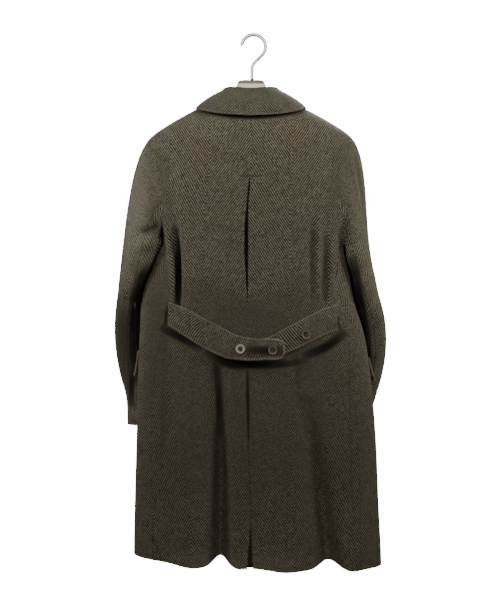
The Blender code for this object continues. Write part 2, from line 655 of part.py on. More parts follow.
def build_sleeve(name, part, material):
    """Top sleeve, outside the arm, or under sleeve, beside the body."""
    points, normals, angle = sleeve_grid(name)
    back_seam = int(np.argmin(np.abs(angle - SLEEVE_BACK_SEAM)))
    front_seam = int(np.argmin(np.abs(angle - SLEEVE_FRONT_SEAM)))
    count = len(angle)
    if part == "top":
        chosen = [index % count for index in range(front_seam, count + back_seam + 1)]
    else:
        chosen = list(range(back_seam, front_seam + 1))
    points, normals = points[:, chosen], normals[:, chosen]
    points = pull_edges(points, normals, gap=2 * SEAM_GAP)
    return wall(f"sleeve_{name}_{part}", points, normals, CLOTH, material)


def strap_grid(rows):
    """Points of a belt strap standing off the back, and their normals."""
    ends = sorted(row[0] for row in rows)
    x = np.linspace(ends[0], ends[-1], BELT_STATIONS)
    top = column(rows, BELT_COLUMNS, "top", x)
    bottom = column(rows, BELT_COLUMNS, "bottom", x)
    off = column(rows, BELT_COLUMNS, "off", x)
    z = top[:, None] + (bottom - top)[:, None] * np.linspace(0, 1, 4)
    across = x[:, None] + 0 * z
    turns = turn_at(across, z)
    points = body(turns, z) + body_normal(turns, z) * off[:, None, None]
    normals = grid_normals(points)
    return points, normals * np.sign(normals[..., 1:2])


def turned(name, profile, segments, place, axis, material):
    """Round solid from a profile of (radius, height) about an axis, closed at both ends."""
    axis = unit(np.asarray(axis, dtype=float))
    first = unit(np.cross(axis, np.array([0.0, 0.0, 1.0])))
    second = np.cross(axis, first)
    angle = np.linspace(0, 2 * np.pi, segments, endpoint=False)
    circle = np.cos(angle)[:, None] * first + np.sin(angle)[:, None] * second
    rings = [place + circle * radius + axis * height for radius, height in profile]
    return tube(name, np.stack(rings), material)


def button_profile(radius):
    """Button with a raised rim round a dished middle."""
    return [(radius * share, height) for share, height in BUTTON_SECTION]


def build_belt(material, button_material):
    """Two straps of the half belt and their three buttons."""
    grids = {"left": strap_grid(BELT_LEFT), "right": strap_grid(BELT_RIGHT)}
    for name, (points, normals) in grids.items():
        wall(f"belt_{name}", points, normals, DOUBLE_CLOTH, material)
    for number, (strap, x, z) in enumerate(BELT_BUTTONS, start=1):
        points, normals = grids[strap]
        distance = np.hypot(points[..., 0] - COAT_X - x, points[..., 2] - z)
        nearest = np.unravel_index(np.argmin(distance), distance.shape)
        normal = normals[nearest]
        level = points[nearest]
        spot = np.array([x + COAT_X, 0.0, z])
        spot[1] = level[1] - np.dot((spot - level)[[0, 2]], normal[[0, 2]]) / normal[1]
        place = spot + normal * (DOUBLE_CLOTH / 2 + 2 * SEAM_GAP)
        turned(f"belt_button_{number}", button_profile(BUTTON_RADIUS), 18, place, normal, button_material)


def build_front_buttons(material):
    """Two columns of buttons on the left front, which lies over the right one."""
    number = 0
    for z in FRONT_BUTTON_HEIGHTS:
        for x in (-FRONT_BUTTON_X, FRONT_BUTTON_X):
            number += 1
            turn = mirrored_front_turn(np.array(x), np.array(z), LEFT)
            points, normals = front_surface(turn, np.array(z), LEFT)
            place = points + normals * (CLOTH / 2 + SEAM_GAP)
            name = f"front_button_{number}"
            turned(name, button_profile(FRONT_BUTTON_RADIUS), 18, place, normals, material)


def build_flap(row, material):
    """Pocket flap on the side of a front, its rear lower corner standing away."""
    name, rear, front, top, bottom, flare = row
    side = SIDES[name]
    turns = np.radians(np.linspace(rear, front, 8))[None, :]
    down = np.linspace(0, 1, 4)[:, None]
    heights = top + (bottom - top) * down + 0 * turns
    turns = turns + 0 * heights
    normals = body_normal(turns * side, heights)
    towards_rear = np.linspace(1, 0, 8)[None, :] ** 2
    off = CLOTH / 2 + DOUBLE_CLOTH / 2 + 2 * SEAM_GAP + flare * down * towards_rear
    points = body(turns * side, heights) + normals * off[..., None]
    return wall(f"pocket_flap_{name}", points, normals, DOUBLE_CLOTH, material)


def shoulder_height(x):
    """Height of the shoulder seam at a distance from the centre."""
    z = np.linspace(NECK_Z, SHOULDER_Z, 60)
    width = column(BODY, BODY_COLUMNS, "left", z)
    return np.interp(x, width, z)


def build_bar(material):
    """Hanger bar: a neck block running out into two sloping arms under the shoulders."""
    rows = [(x, top, height) for x, top, height in BAR_MIDDLE]
    for x in list(BAR_OUTER_X) + [BAR_END_X]:
        share = (x - BAR_OUTER_X[0]) / (BAR_END_X - BAR_OUTER_X[0])
        height = BAR_MIDDLE[-1][2] + (BAR_END_HEIGHT - BAR_MIDDLE[-1][2]) * share
        rows.append((x, float(shoulder_height(x)) - BAR_SEAT, height))
    rows = [(-x, top, height) for x, top, height in rows[:0:-1]] + rows
    angle = np.linspace(0, 2 * np.pi, 14, endpoint=False)
    round_y = np.sign(np.cos(angle)) * np.abs(np.cos(angle)) ** BAR_ROUND
    round_z = np.sign(np.sin(angle)) * np.abs(np.sin(angle)) ** BAR_ROUND
    rings = []
    for x, top, height in rows:
        middle = top - height / 2
        ring = [np.full_like(angle, x + COAT_X), BAR_DEPTH_Y * round_y, middle + height / 2 * round_z]
        rings.append(np.stack(ring, axis=-1))
    return tube("hanger_bar", np.stack(rings), material)


def build_hook(material):
    """Hook of flat wire: a ring open on one side, an easy bend and an upright stem."""
    ring_z = -(HOOK_RADIUS - HOOK_WIRE / 2)
    path = []
    for angle in np.radians(np.linspace(HOOK_TURN_START, HOOK_TURN_END, 22)):
        path.append((-HOOK_RADIUS * math.cos(angle), ring_z + HOOK_RADIUS * math.sin(angle)))
    stem_end = BAR_MIDDLE[0][1] + SEAM_GAP
    start = np.array(path[-1])
    heading = -np.array([math.sin(math.radians(HOOK_TURN_END)), math.cos(math.radians(HOOK_TURN_END))])
    end = np.array([STEM_X, STEM_TOP])
    leave = start + heading * BEND_LEAVE
    arrive = end + np.array([0.0, BEND_ARRIVE])
    for t in np.linspace(0, 1, 10)[1:]:
        point = (1 - t)**3 * start + 3 * (1 - t)**2 * t * leave + 3 * (1 - t) * t**2 * arrive + t**3 * end
        path.append(tuple(point))
    path.append((STEM_X, (STEM_TOP + stem_end) / 2))
    path.append((STEM_X, stem_end))
    path = np.array(path)
    tangent = unit(np.gradient(path, axis=0))
    width = np.linspace(1.0, HOOK_TAPER, len(path)) * HOOK_WIRE / 2
    width[0] *= HOOK_TIP
    angle = np.linspace(0, 2 * np.pi, 10, endpoint=False)
    rings = []
    for (x, z), (tx, tz), half in zip(path, tangent, width):
        sideways = half * np.cos(angle)
        deep = HOOK_WIRE_Y / 2 * np.sin(angle)
        rings.append(np.stack([x - tz * sideways, deep, z + tx * sideways], axis=-1))
    return tube("hanger_hook", np.stack(rings), material)


def make_material(name, colour, roughness, metallic=0.0):
    """Principled material of one finish."""
    material = bpy.data.materials.new(name)
    material.use_nodes = True
    shader = material.node_tree.nodes["Principled BSDF"]
    shader.inputs["Base Color"].default_value = (*colour, 1.0)
    shader.inputs["Roughness"].default_value = roughness
    shader.inputs["Metallic"].default_value = metallic
    return material


def main():
    """Build every piece of the coat and its hanger."""
    for thing in list(bpy.data.objects):
        bpy.data.objects.remove(thing, do_unlink=True)
    tweed = make_material("tweed", (0.075, 0.065, 0.046), 0.95)
    horn = make_material("horn", (0.050, 0.038, 0.024), 0.35)
    metal = make_material("bright_metal", (0.62, 0.59, 0.56), 0.22, 1.0)
    bar = make_material("hanger_bar", (0.42, 0.35, 0.28), 0.45)

    build_back("back_left", LEFT, tweed)
    build_back("back_right", RIGHT, tweed)
    build_front("front_left", LEFT, tweed)
    build_front("front_right", RIGHT, tweed)

    share = np.linspace(0, 1, 12)
    pleat = PLEAT_TOP + (PLEAT_END - PLEAT_TOP) * share
    inside = CLOTH + SEAM_GAP + PLEAT_SWELL * np.sin(np.pi * share)
    build_behind("pleat_underlay", pleat, PLEAT_HALF, inside, tweed)
    vent = np.linspace(VENT_TOP, VENT_END, 5)
    build_behind("vent_underlap", vent, VENT_HALF, np.linspace(*VENT_DEPTHS, 5), tweed)

    build_lapel("lapel_left", LEFT, tweed)
    build_lapel("lapel_right", RIGHT, tweed)
    build_collar("collar", tweed)
    for name in SIDES:
        for part in ("top", "under"):
            build_sleeve(name, part, tweed)
    build_belt(tweed, horn)
    build_front_buttons(horn)
    for row in FLAPS:
        build_flap(row, tweed)
    build_bar(bar)
    build_hook(metal)


main()
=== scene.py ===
"""Looks of a long double-breasted tweed coat on a hanger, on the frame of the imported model.

Metres, +Z up. The back of the coat faces +Y and the wearer's left is +X.
Girth round the body is given as a turn: 0 at centre back, 90 degrees at the side, 180 at centre front.
Each cut piece is a thin closed sheet on the form of its solid, with finer points, creases and sewing.
"""
import math

import bpy
import numpy as np
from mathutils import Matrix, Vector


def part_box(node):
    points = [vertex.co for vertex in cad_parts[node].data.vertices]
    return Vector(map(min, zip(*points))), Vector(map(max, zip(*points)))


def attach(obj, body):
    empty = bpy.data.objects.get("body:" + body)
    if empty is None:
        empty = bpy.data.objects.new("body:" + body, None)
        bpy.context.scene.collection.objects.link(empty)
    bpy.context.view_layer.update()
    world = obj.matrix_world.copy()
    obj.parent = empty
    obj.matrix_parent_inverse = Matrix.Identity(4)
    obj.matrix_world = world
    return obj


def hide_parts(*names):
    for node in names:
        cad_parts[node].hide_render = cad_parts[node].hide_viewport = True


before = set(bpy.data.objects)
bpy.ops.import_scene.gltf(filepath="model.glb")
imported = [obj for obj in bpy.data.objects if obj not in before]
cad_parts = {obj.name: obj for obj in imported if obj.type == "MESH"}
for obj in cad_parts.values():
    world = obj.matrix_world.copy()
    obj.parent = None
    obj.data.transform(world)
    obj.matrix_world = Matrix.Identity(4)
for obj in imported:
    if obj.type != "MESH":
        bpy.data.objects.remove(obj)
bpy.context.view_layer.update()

# Driving sizes
CLOTH = 0.0025            # wall of the tweed
DOUBLE_CLOTH = 0.003      # wall of collar, straps and flaps, which are two layers
SEAM_GAP = 0.0003         # clearance between sewn pieces
COAT_X = 0.0057           # the coat hangs this far to one side of the hook
NECK_Z = -0.131           # neck seam at the side of the neck
NECK_DROP = 0.019         # centre back and centre front of the neck lie this much lower
NECK_DROP_REACH = 0.085   # height over which that drop fades out below the neck
SHOULDER_Z = -0.225       # shoulder point, top of the armhole
UNDERARM_Z = -0.465       # bottom of the armhole
HEM_Z = -1.141            # mean height of the hem
HEM_TILT = 0.045          # the hem runs up towards the wearer's left
HEM_EASE_Z = -0.86        # below this height the rows follow the hem
FOLD_LIFT = 0.32          # a hollow fold lifts the hem by this share of its depth
FOLD_FADE = 2.0           # how quickly folds set in past the sides
FRONT_OVERLAP = 0.090     # each front reaches this far past the centre
BREAK_Z = -0.500          # where the lapels start to roll
ROLL_TOP_X = 0.046        # roll line at the neck
UNDER_INSET = 0.0046      # the right front lies this far inside the left
COVER_START = 0.045       # the right front starts to draw in this far before the left one's edge
COVER_EASE = 0.035
FRONT_EASE = 3.0          # how quickly that sets in past the side
LAPEL_RISE = 0.0055       # lapel above the front it lies on
LAPEL_BELLY = 0.003       # outward swell of the lapel
LAPEL_START = 0.001       # the lapel starts this far past the roll line
LAPEL_UNDER = 0.008       # the right lapel starts this far past the left front's edge
LAPEL_LEAST = 0.006       # least width of the right lapel
BUTTON_RADIUS = 0.0100
FRONT_BUTTON_RADIUS = 0.0140
SLEEVE_CLEARANCE = 0.014  # the sleeve keeps this far off the body's side
HEAD_RISE = 0.075         # the sleeve leaves the armhole at least this strongly, under the arm too
HEAD_SHARE = 0.6          # or by this share of the way to its first hanging row
HEAD_ARRIVE = 0.030       # and comes in there towards the row this much lower
SLEEVE_BACK_SEAM = math.radians(98)    # seams between top and under sleeve, round from its outside
SLEEVE_FRONT_SEAM = math.radians(258)
BAR_DEPTH_Y = 0.0070      # half thickness of the hanger bar
BAR_END_X = 0.205
HOOK_RADIUS = 0.0262      # middle of the hook's ring
HOOK_WIRE = 0.0084        # flat width of the hook's wire
HOOK_WIRE_Y = 0.0052
HOOK_TURN_START = 177.0
HOOK_TURN_END = -42.0     # the ring runs round to this angle, then bends into the stem
HOOK_ROUND = 0.75         # how square the wire's section is, 1 being an oval
HOOK_TAPER = 0.20         # the wire loses this share of its width along the way
HOOK_TIP = 0.004          # the free end is rounded over this length
STEM_SHIFT = 0.0022       # stem off the middle of the coat
STEM_TOP = -0.0720
BEND_START = 0.020        # lengths of the handles of the bend between ring and stem
BEND_END = 0.014

# Horizontal sections of the body, top to hem: half widths, depths and how square the corner is
BODY_COLUMNS = ("z", "left", "right", "back", "front", "side_y", "power")
BODY = (
    (-0.131, 0.054, 0.054, 0.056, -0.048, 0.000, 2.00),
    (-0.147, 0.088, 0.088, 0.073, -0.063, 0.000, 2.00),
    (-0.163, 0.121, 0.121, 0.084, -0.074, 0.000, 2.00),
    (-0.182, 0.156, 0.157, 0.092, -0.082, 0.000, 2.00),
    (-0.201, 0.188, 0.189, 0.098, -0.088, 0.000, 2.00),
    (-0.215, 0.209, 0.210, 0.101, -0.092, 0.000, 2.00),
    (-0.225, 0.221, 0.221, 0.103, -0.094, 0.000, 2.00),
    (-0.300, 0.226, 0.226, 0.108, -0.104, 0.000, 2.10),
    (-0.400, 0.219, 0.217, 0.104, -0.110, 0.010, 2.20),
    (-0.465, 0.203, 0.201, 0.100, -0.112, 0.020, 2.30),
    (-0.520, 0.221, 0.212, 0.098, -0.114, 0.020, 2.30),
    (-0.585, 0.238, 0.224, 0.096, -0.116, 0.020, 2.30),
    (-0.645, 0.241, 0.243, 0.096, -0.118, 0.020, 2.30),
    (-0.735, 0.245, 0.258, 0.099, -0.120, 0.020, 2.30),
    (-0.865, 0.248, 0.270, 0.106, -0.122, 0.020, 2.30),
    (-1.020, 0.252, 0.277, 0.114, -0.124, 0.020, 2.30),
    (-1.141, 0.254, 0.283, 0.120, -0.126, 0.020, 2.30),
    (-1.200, 0.254, 0.284, 0.121, -0.126, 0.020, 2.30),
)

# Main folds: a hollow has a positive depth, a swell a negative one. Deepest half way down,
# so a fold that runs out at the hem ends below it. Side is 1 on the back and -1 on the front.
# Columns: name, x_top, x_end, half_width, depth, z_top, z_end, side
FOLDS = (
    ("left_hem_hollow", 0.064, 0.066, 0.019, 0.046, -0.70, -1.60, 1),
    ("left_hem_swell", 0.125, 0.130, 0.036, -0.014, -0.72, -1.58, 1),
    ("left_centre_swell", 0.028, 0.026, 0.018, -0.006, -0.80, -1.50, 1),
    ("right_centre_swell", -0.060, -0.080, 0.040, -0.012, -0.76, -1.54, 1),
    ("right_hem_hollow", -0.115, -0.218, 0.026, 0.042, -0.78, -1.52, 1),
    ("right_side_swell", -0.205, -0.225, 0.026, -0.008, -0.85, -1.45, 1),
    ("left_arm_hollow", 0.158, 0.156, 0.011, 0.010, -0.42, -0.62, 1),
    ("right_arm_hollow", -0.130, -0.122, 0.014, 0.005, -0.38, -0.60, 1),
    ("right_arm_second", -0.160, -0.150, 0.012, 0.005, -0.42, -0.62, 1),
    ("front_left_hollow", 0.130, 0.140, 0.026, 0.022, -0.80, -1.50, -1),
    ("front_left_swell", 0.190, 0.195, 0.030, -0.008, -0.80, -1.50, -1),
    ("front_right_hollow", -0.140, -0.155, 0.028, 0.020, -0.82, -1.48, -1),
    ("front_right_swell", -0.205, -0.210, 0.034, -0.008, -0.80, -1.50, -1),
)

# Armhole: seam on the back by its distance from the centre, seam on the front by its turn
ARMHOLE_COLUMNS = ("z", "back_x", "front_turn")
ARMHOLE = (
    (-0.225, 0.2240, 90.0),
    (-0.240, 0.2145, 109.0),
    (-0.265, 0.2065, 121.0),
    (-0.295, 0.1990, 128.0),
    (-0.330, 0.1940, 132.0),
    (-0.370, 0.1900, 133.0),
    (-0.410, 0.1885, 131.0),
    (-0.440, 0.1880, 125.0),
    (-0.455, 0.1880, 114.0),
    (-0.462, 0.1885, 98.0),
)

# Side seam on the back, distance from the centre
SEAM_COLUMNS = ("z", "left", "right")
SIDE_SEAM = (
    (-0.465, 0.189, 0.190),
    (-0.520, 0.180, 0.182),
    (-0.584, 0.170, 0.175),
    (-0.640, 0.188, 0.197),
    (-0.730, 0.203, 0.214),
    (-0.800, 0.210, 0.219),
    (-0.900, 0.210, 0.227),
    (-1.040, 0.209, 0.231),
    (-1.200, 0.205, 0.232),
)

# Centre back: where the seam runs and how far the two halves part
CENTRE_COLUMNS = ("z", "lean", "opening")
CENTRE_BACK = (
    (-0.131, 0.0000, 0.0000),
    (-0.319, 0.0020, 0.0000),
    (-0.331, 0.0032, 0.0026),
    (-0.370, 0.0070, 0.0040),
    (-0.450, 0.0100, 0.0085),
    (-0.540, 0.0085, 0.0040),
    (-0.590, 0.0075, 0.0000),
    (-0.750, 0.0075, 0.0000),
    (-1.041, 0.0010, 0.0000),
    (-1.141, 0.0020, 0.0120),
    (-1.200, 0.0020, 0.0160),
)

# Strips behind the centre back: heights, half width, depth behind the back and share of painted shade, the
# shadow inside the pleat and the vent painted into their cloth.
# The depth is its start, a slope down the strip and a belly in the middle.
# Columns: name, top, bottom, half width, start, slope, belly, painted shade
BEHIND = (
    ("pleat_underlay", -0.322, -0.725, 0.024, CLOTH + SEAM_GAP, 0.0, 0.007, 0.95),
    ("vent_underlap", -1.046, -1.140, 0.019, 0.0036, 0.0039, 0.0, 0.70),
)

# Ovals of the hanging sleeves below the armhole: outermost edge, thickness, middle, depth and turn
OVAL_COLUMNS = ("z", "outer_x", "thickness", "middle_y", "depth", "yaw")
SLEEVE_OVALS = {
    "left": (
        (-0.500, 0.2850, 0.096, -0.014, 0.160, 8.0),
        (-0.560, 0.2925, 0.097, -0.028, 0.158, 14.0),
        (-0.620, 0.3010, 0.100, -0.047, 0.156, 20.0),
        (-0.680, 0.3030, 0.104, -0.070, 0.152, 26.0),
        (-0.740, 0.2965, 0.104, -0.092, 0.148, 31.0),
        (-0.800, 0.2830, 0.098, -0.110, 0.145, 35.0),
        (-0.862, 0.2810, 0.089, -0.120, 0.142, 37.0),
    ),
    "right": (
        (-0.500, 0.2660, 0.094, -0.016, 0.158, 8.0),
        (-0.560, 0.2800, 0.097, -0.032, 0.157, 14.0),
        (-0.620, 0.2965, 0.099, -0.052, 0.155, 20.0),
        (-0.680, 0.3030, 0.105, -0.076, 0.152, 26.0),
        (-0.740, 0.2985, 0.106, -0.098, 0.148, 31.0),
        (-0.800, 0.2840, 0.101, -0.116, 0.145, 36.0),
        (-0.862, 0.2660, 0.092, -0.129, 0.142, 39.0),
    ),
}

# Collar from centre back to its front end: place on the neck seam, stand, and where its edge lies
COLLAR_COLUMNS = ("turn", "stand", "lean", "edge_turn", "edge_z", "edge_off")
COLLAR = (
    (0.0, 0.0240, 0.0030, 0.0, -0.1923, 0.0085),
    (30.0, 0.0225, 0.0030, 20.0, -0.1880, 0.0080),
    (60.0, 0.0175, 0.0030, 45.0, -0.1760, 0.0060),
    (80.0, 0.0130, 0.0030, 72.0, -0.1640, 0.0046),
    (90.0, 0.0115, 0.0030, 92.0, -0.1620, 0.0042),
    (104.0, 0.0095, 0.0030, 115.0, -0.1720, 0.0050),
    (117.0, 0.0060, 0.0030, 135.0, -0.1880, 0.0055),
)
COLLAR_FOLD_RADIUS = 0.0034
COLLAR_LIFT = 0.0027      # the stand starts this far above the neck seam's middle line
COLLAR_BELLY = 0.0030     # outward swell of the fall
COLLAR_LEAST = 0.001      # the stand is at least this high above its foot
# Painted shade: the collar's cloth is painted darker all over
COLLAR_SHADE = 0.14       # share of light the collar loses all over
COLLAR_WEAR = 0.35        # its edge is rubbed this much of what other edges are

# Lapel, from the break up to its top edge: share of the roll line, reach past it and rise of its edge
LAPEL_COLUMNS = ("share", "reach", "edge_rise")
LAPEL = (
    (0.03, 0.010, 0.000),
    (0.20, 0.036, 0.000),
    (0.40, 0.062, 0.000),
    (0.60, 0.086, -0.002),
    (0.75, 0.100, -0.010),
    (0.86, 0.094, -0.032),
    (0.97, 0.071, -0.058),
)

# Half belt straps along their length: edges and stand-off from the back
BELT_COLUMNS = ("x", "top", "bottom", "off")
BELT_LEFT = (
    (0.1755, -0.5835, -0.6330, 0.0034),
    (0.1400, -0.5960, -0.6560, 0.0050),
    (0.0955, -0.6194, -0.6830, 0.0085),
    (0.0600, -0.6380, -0.6990, 0.0120),
    (0.0274, -0.6540, -0.7060, 0.0145),
    (0.0050, -0.6590, -0.7075, 0.0150),
    (-0.0300, -0.6612, -0.7060, 0.0140),
    (-0.0590, -0.6632, -0.7040, 0.0125),
    (-0.0670, -0.6670, -0.7005, 0.0120),
    (-0.0705, -0.6740, -0.6935, 0.0118),
)
BELT_RIGHT = (
    (-0.1825, -0.5900, -0.6430, 0.0034),
    (-0.1500, -0.5990, -0.6570, 0.0045),
    (-0.1100, -0.6190, -0.6760, 0.0065),
    (-0.0700, -0.6400, -0.6930, 0.0078),
    (-0.0350, -0.6580, -0.7010, 0.0085),
    (0.0000, -0.6630, -0.7040, 0.0088),
    (0.0400, -0.6580, -0.6990, 0.0075),
)
BELT_BUTTONS = ("left", "left", "right")   # strap under each of the belt's buttons

# Pocket flaps on the front's side: turns of the rear and front ends, heights, flare of the rear corner
# Columns: side, rear_turn, front_turn, top, bottom, flare
FLAPS = (
    ("left", 86.0, 138.0, -0.690, -0.745, 0.0040),
    ("right", 88.0, 138.0, -0.705, -0.756, 0.0045),
)

# Hanger bar from the middle outwards: top edge and height
BAR_COLUMNS = ("x", "top", "height")
BAR_MIDDLE = (
    (0.000, -0.0955, 0.075),
    (0.020, -0.0960, 0.074),
    (0.029, -0.1000, 0.068),
    (0.0325, -0.1080, 0.058),
    (0.037, -0.1240, 0.041),
    (0.046, -0.1300, 0.036),
)
BAR_OUTER_X = (0.064, 0.090, 0.120, 0.150, 0.180, 0.198)
BAR_SEAT = 0.0034         # bar top below the middle of the shoulder cloth
BAR_END_HEIGHT = 0.024
BAR_STEP = 0.0025         # spacing of the rings along the bar
BAR_ROUND = 0.6           # how square its section is, 1 being an oval

LEFT = 1
RIGHT = -1
SIDES = {"left": LEFT, "right": RIGHT}
NAMES = {LEFT: "left", RIGHT: "right"}


def column(rows, columns, name, at):
    """Smooth value of one named column of a table at positions of its first column."""
    ordered = sorted(rows)
    place = np.array([row[0] for row in ordered], dtype=float)
    value = np.array([row[columns.index(name)] for row in ordered], dtype=float)
    slope = np.gradient(value, place)
    at = np.clip(np.asarray(at, dtype=float), place[0], place[-1])
    cell = np.clip(np.searchsorted(place, at) - 1, 0, len(place) - 2)
    span = place[cell + 1] - place[cell]
    t = (at - place[cell]) / span
    start = (2 * t**3 - 3 * t**2 + 1) * value[cell] + (t**3 - 2 * t**2 + t) * span * slope[cell]
    end = (3 * t**2 - 2 * t**3) * value[cell + 1] + (t**3 - t**2) * span * slope[cell + 1]
    return start + end


def unit(vectors):
    """Vectors scaled to length one."""
    return vectors / np.linalg.norm(vectors, axis=-1, keepdims=True)


def smooth_step(t):
    """Ease from 0 to 1."""
    t = np.clip(t, 0.0, 1.0)
    return t * t * (3 - 2 * t)


def half_width(x, z):
    """Half width of the body on the side where x lies."""
    left = column(BODY, BODY_COLUMNS, "left", z)
    right = column(BODY, BODY_COLUMNS, "right", z)
    return np.where(x >= 0, left, right)


def fold_depth(x, z, facing):
    """Depth of all folds at a place, faded out towards the sides of the body."""
    total = np.zeros(np.broadcast(x, z).shape)
    for _, x_top, x_end, width, depth, z_top, z_end, side in FOLDS:
        t = (z_top - z) / (z_top - z_end)
        strength = np.where((t > 0) & (t < 1), np.sin(np.pi * np.clip(t, 0, 1)), 0.0)
        centre = x_top + (x_end - x_top) * t
        across = np.exp(-((x - centre) / width) ** 2)
        fade = smooth_step(facing * side * FOLD_FADE)
        total = total + depth * strength * across * fade
    return total


def body(turn, z):
    """Middle of the body's cloth at a turn (radians) and a row height."""
    turn, z = np.broadcast_arrays(np.asarray(turn, dtype=float), np.asarray(z, dtype=float))
    across, facing = np.sin(turn), np.cos(turn)
    sharp = 2.0 / column(BODY, BODY_COLUMNS, "power", z)
    x = half_width(across, z) * np.sign(across) * np.abs(across) ** sharp
    side_y = column(BODY, BODY_COLUMNS, "side_y", z)
    depth_back = column(BODY, BODY_COLUMNS, "back", z) - side_y
    depth_front = side_y - column(BODY, BODY_COLUMNS, "front", z)
    depth = np.where(facing >= 0, depth_back, depth_front)
    fold = fold_depth(x, z, facing)
    y = side_y + depth * np.sign(facing) * np.abs(facing) ** sharp - np.sign(facing) * fold
    neck = np.clip(1 - (NECK_Z - z) / NECK_DROP_REACH, 0, 1) ** 2
    hem = np.clip((HEM_EASE_Z - z) / (HEM_EASE_Z - HEM_Z), 0, 1) ** 2
    height = z - NECK_DROP * neck * facing**2 + hem * (HEM_TILT * x + FOLD_LIFT * fold)
    return np.stack([x + COAT_X, y, height], axis=-1)


def body_normal(turn, z, step=1e-4):
    """Outward direction of the body's cloth."""
    turn, z = np.broadcast_arrays(np.asarray(turn, dtype=float), np.asarray(z, dtype=float))
    up = body(turn, np.minimum(z + step, NECK_Z)) - body(turn, z - step)
    around = body(turn + step, z) - body(turn - step, z)
    return unit(np.cross(up, around))


def turn_at(x, z, front=False):
    """Turn of the body at a distance x from its centre line, on the back or on the front."""
    x = np.asarray(x, dtype=float)
    power = column(BODY, BODY_COLUMNS, "power", z)
    share = np.clip(np.abs(x) / half_width(x, z), 0.0, 1.0)
    angle = np.sign(x) * np.arcsin(share ** (power / 2.0))
    return np.pi - angle if front else angle


def grid_normals(points, ring=False):
    """Normals of a grid from the steps between neighbouring rows and columns."""
    along = np.gradient(points, axis=0)
    if ring:
        across = np.roll(points, -1, axis=1) - np.roll(points, 1, axis=1)
    else:
        across = np.gradient(points, axis=1)
    return unit(np.cross(along, across))


def front_edge_x(z):
    """Front edge of a front half, past the centre below the break and on the roll line above it."""
    roll = np.clip((z - BREAK_Z) / (NECK_Z - BREAK_Z), 0, 1)
    return -FRONT_OVERLAP + (FRONT_OVERLAP + ROLL_TOP_X) * roll


def front_surface(turns, z, side):
    """Middle of a front half's cloth, with the right one drawn in where the left one covers it."""
    points = body(turns * side, z)
    normals = body_normal(turns * side, z)
    if side == RIGHT:
        covered = smooth_step((points[..., 0] - COAT_X + FRONT_OVERLAP + COVER_START) / COVER_EASE)
        front = smooth_step(-np.cos(turns) * FRONT_EASE)
        points = points - normals * (UNDER_INSET * covered * front)[..., None]
    return points, normals


def mirrored_front_turn(x, z, side):
    """Turn counted towards the given side, so that both fronts use the same signs."""
    power = column(BODY, BODY_COLUMNS, "power", z)
    share = np.abs(x) / half_width(x * side, z)
    return np.pi - np.sign(x) * np.arcsin(np.clip(share, 0, 1) ** (power / 2.0))


def clear_of_body(points, gap):
    """Points moved straight out from the body's axis where they would touch its side."""
    z = points[..., 2]
    x = points[..., 0] - COAT_X
    width = half_width(x, z) + gap
    side_y = column(BODY, BODY_COLUMNS, "side_y", z)
    back = column(BODY, BODY_COLUMNS, "back", z) - side_y + gap
    front = side_y - column(BODY, BODY_COLUMNS, "front", z) + gap
    y = points[..., 1] - side_y
    power = column(BODY, BODY_COLUMNS, "power", z)
    inside = (np.abs(x) / width) ** power + (np.abs(y) / np.where(y >= 0, back, front)) ** power
    grow = np.where(inside < 1, inside ** (-1 / power), 1.0)
    return np.stack([x * grow + COAT_X, y * grow + side_y, z], axis=-1)


def shoulder_height(x):
    """Height of the shoulder seam at a distance from the centre."""
    z = np.linspace(NECK_Z, SHOULDER_Z, 60)
    width = column(BODY, BODY_COLUMNS, "left", z)
    return np.interp(x, width, z)


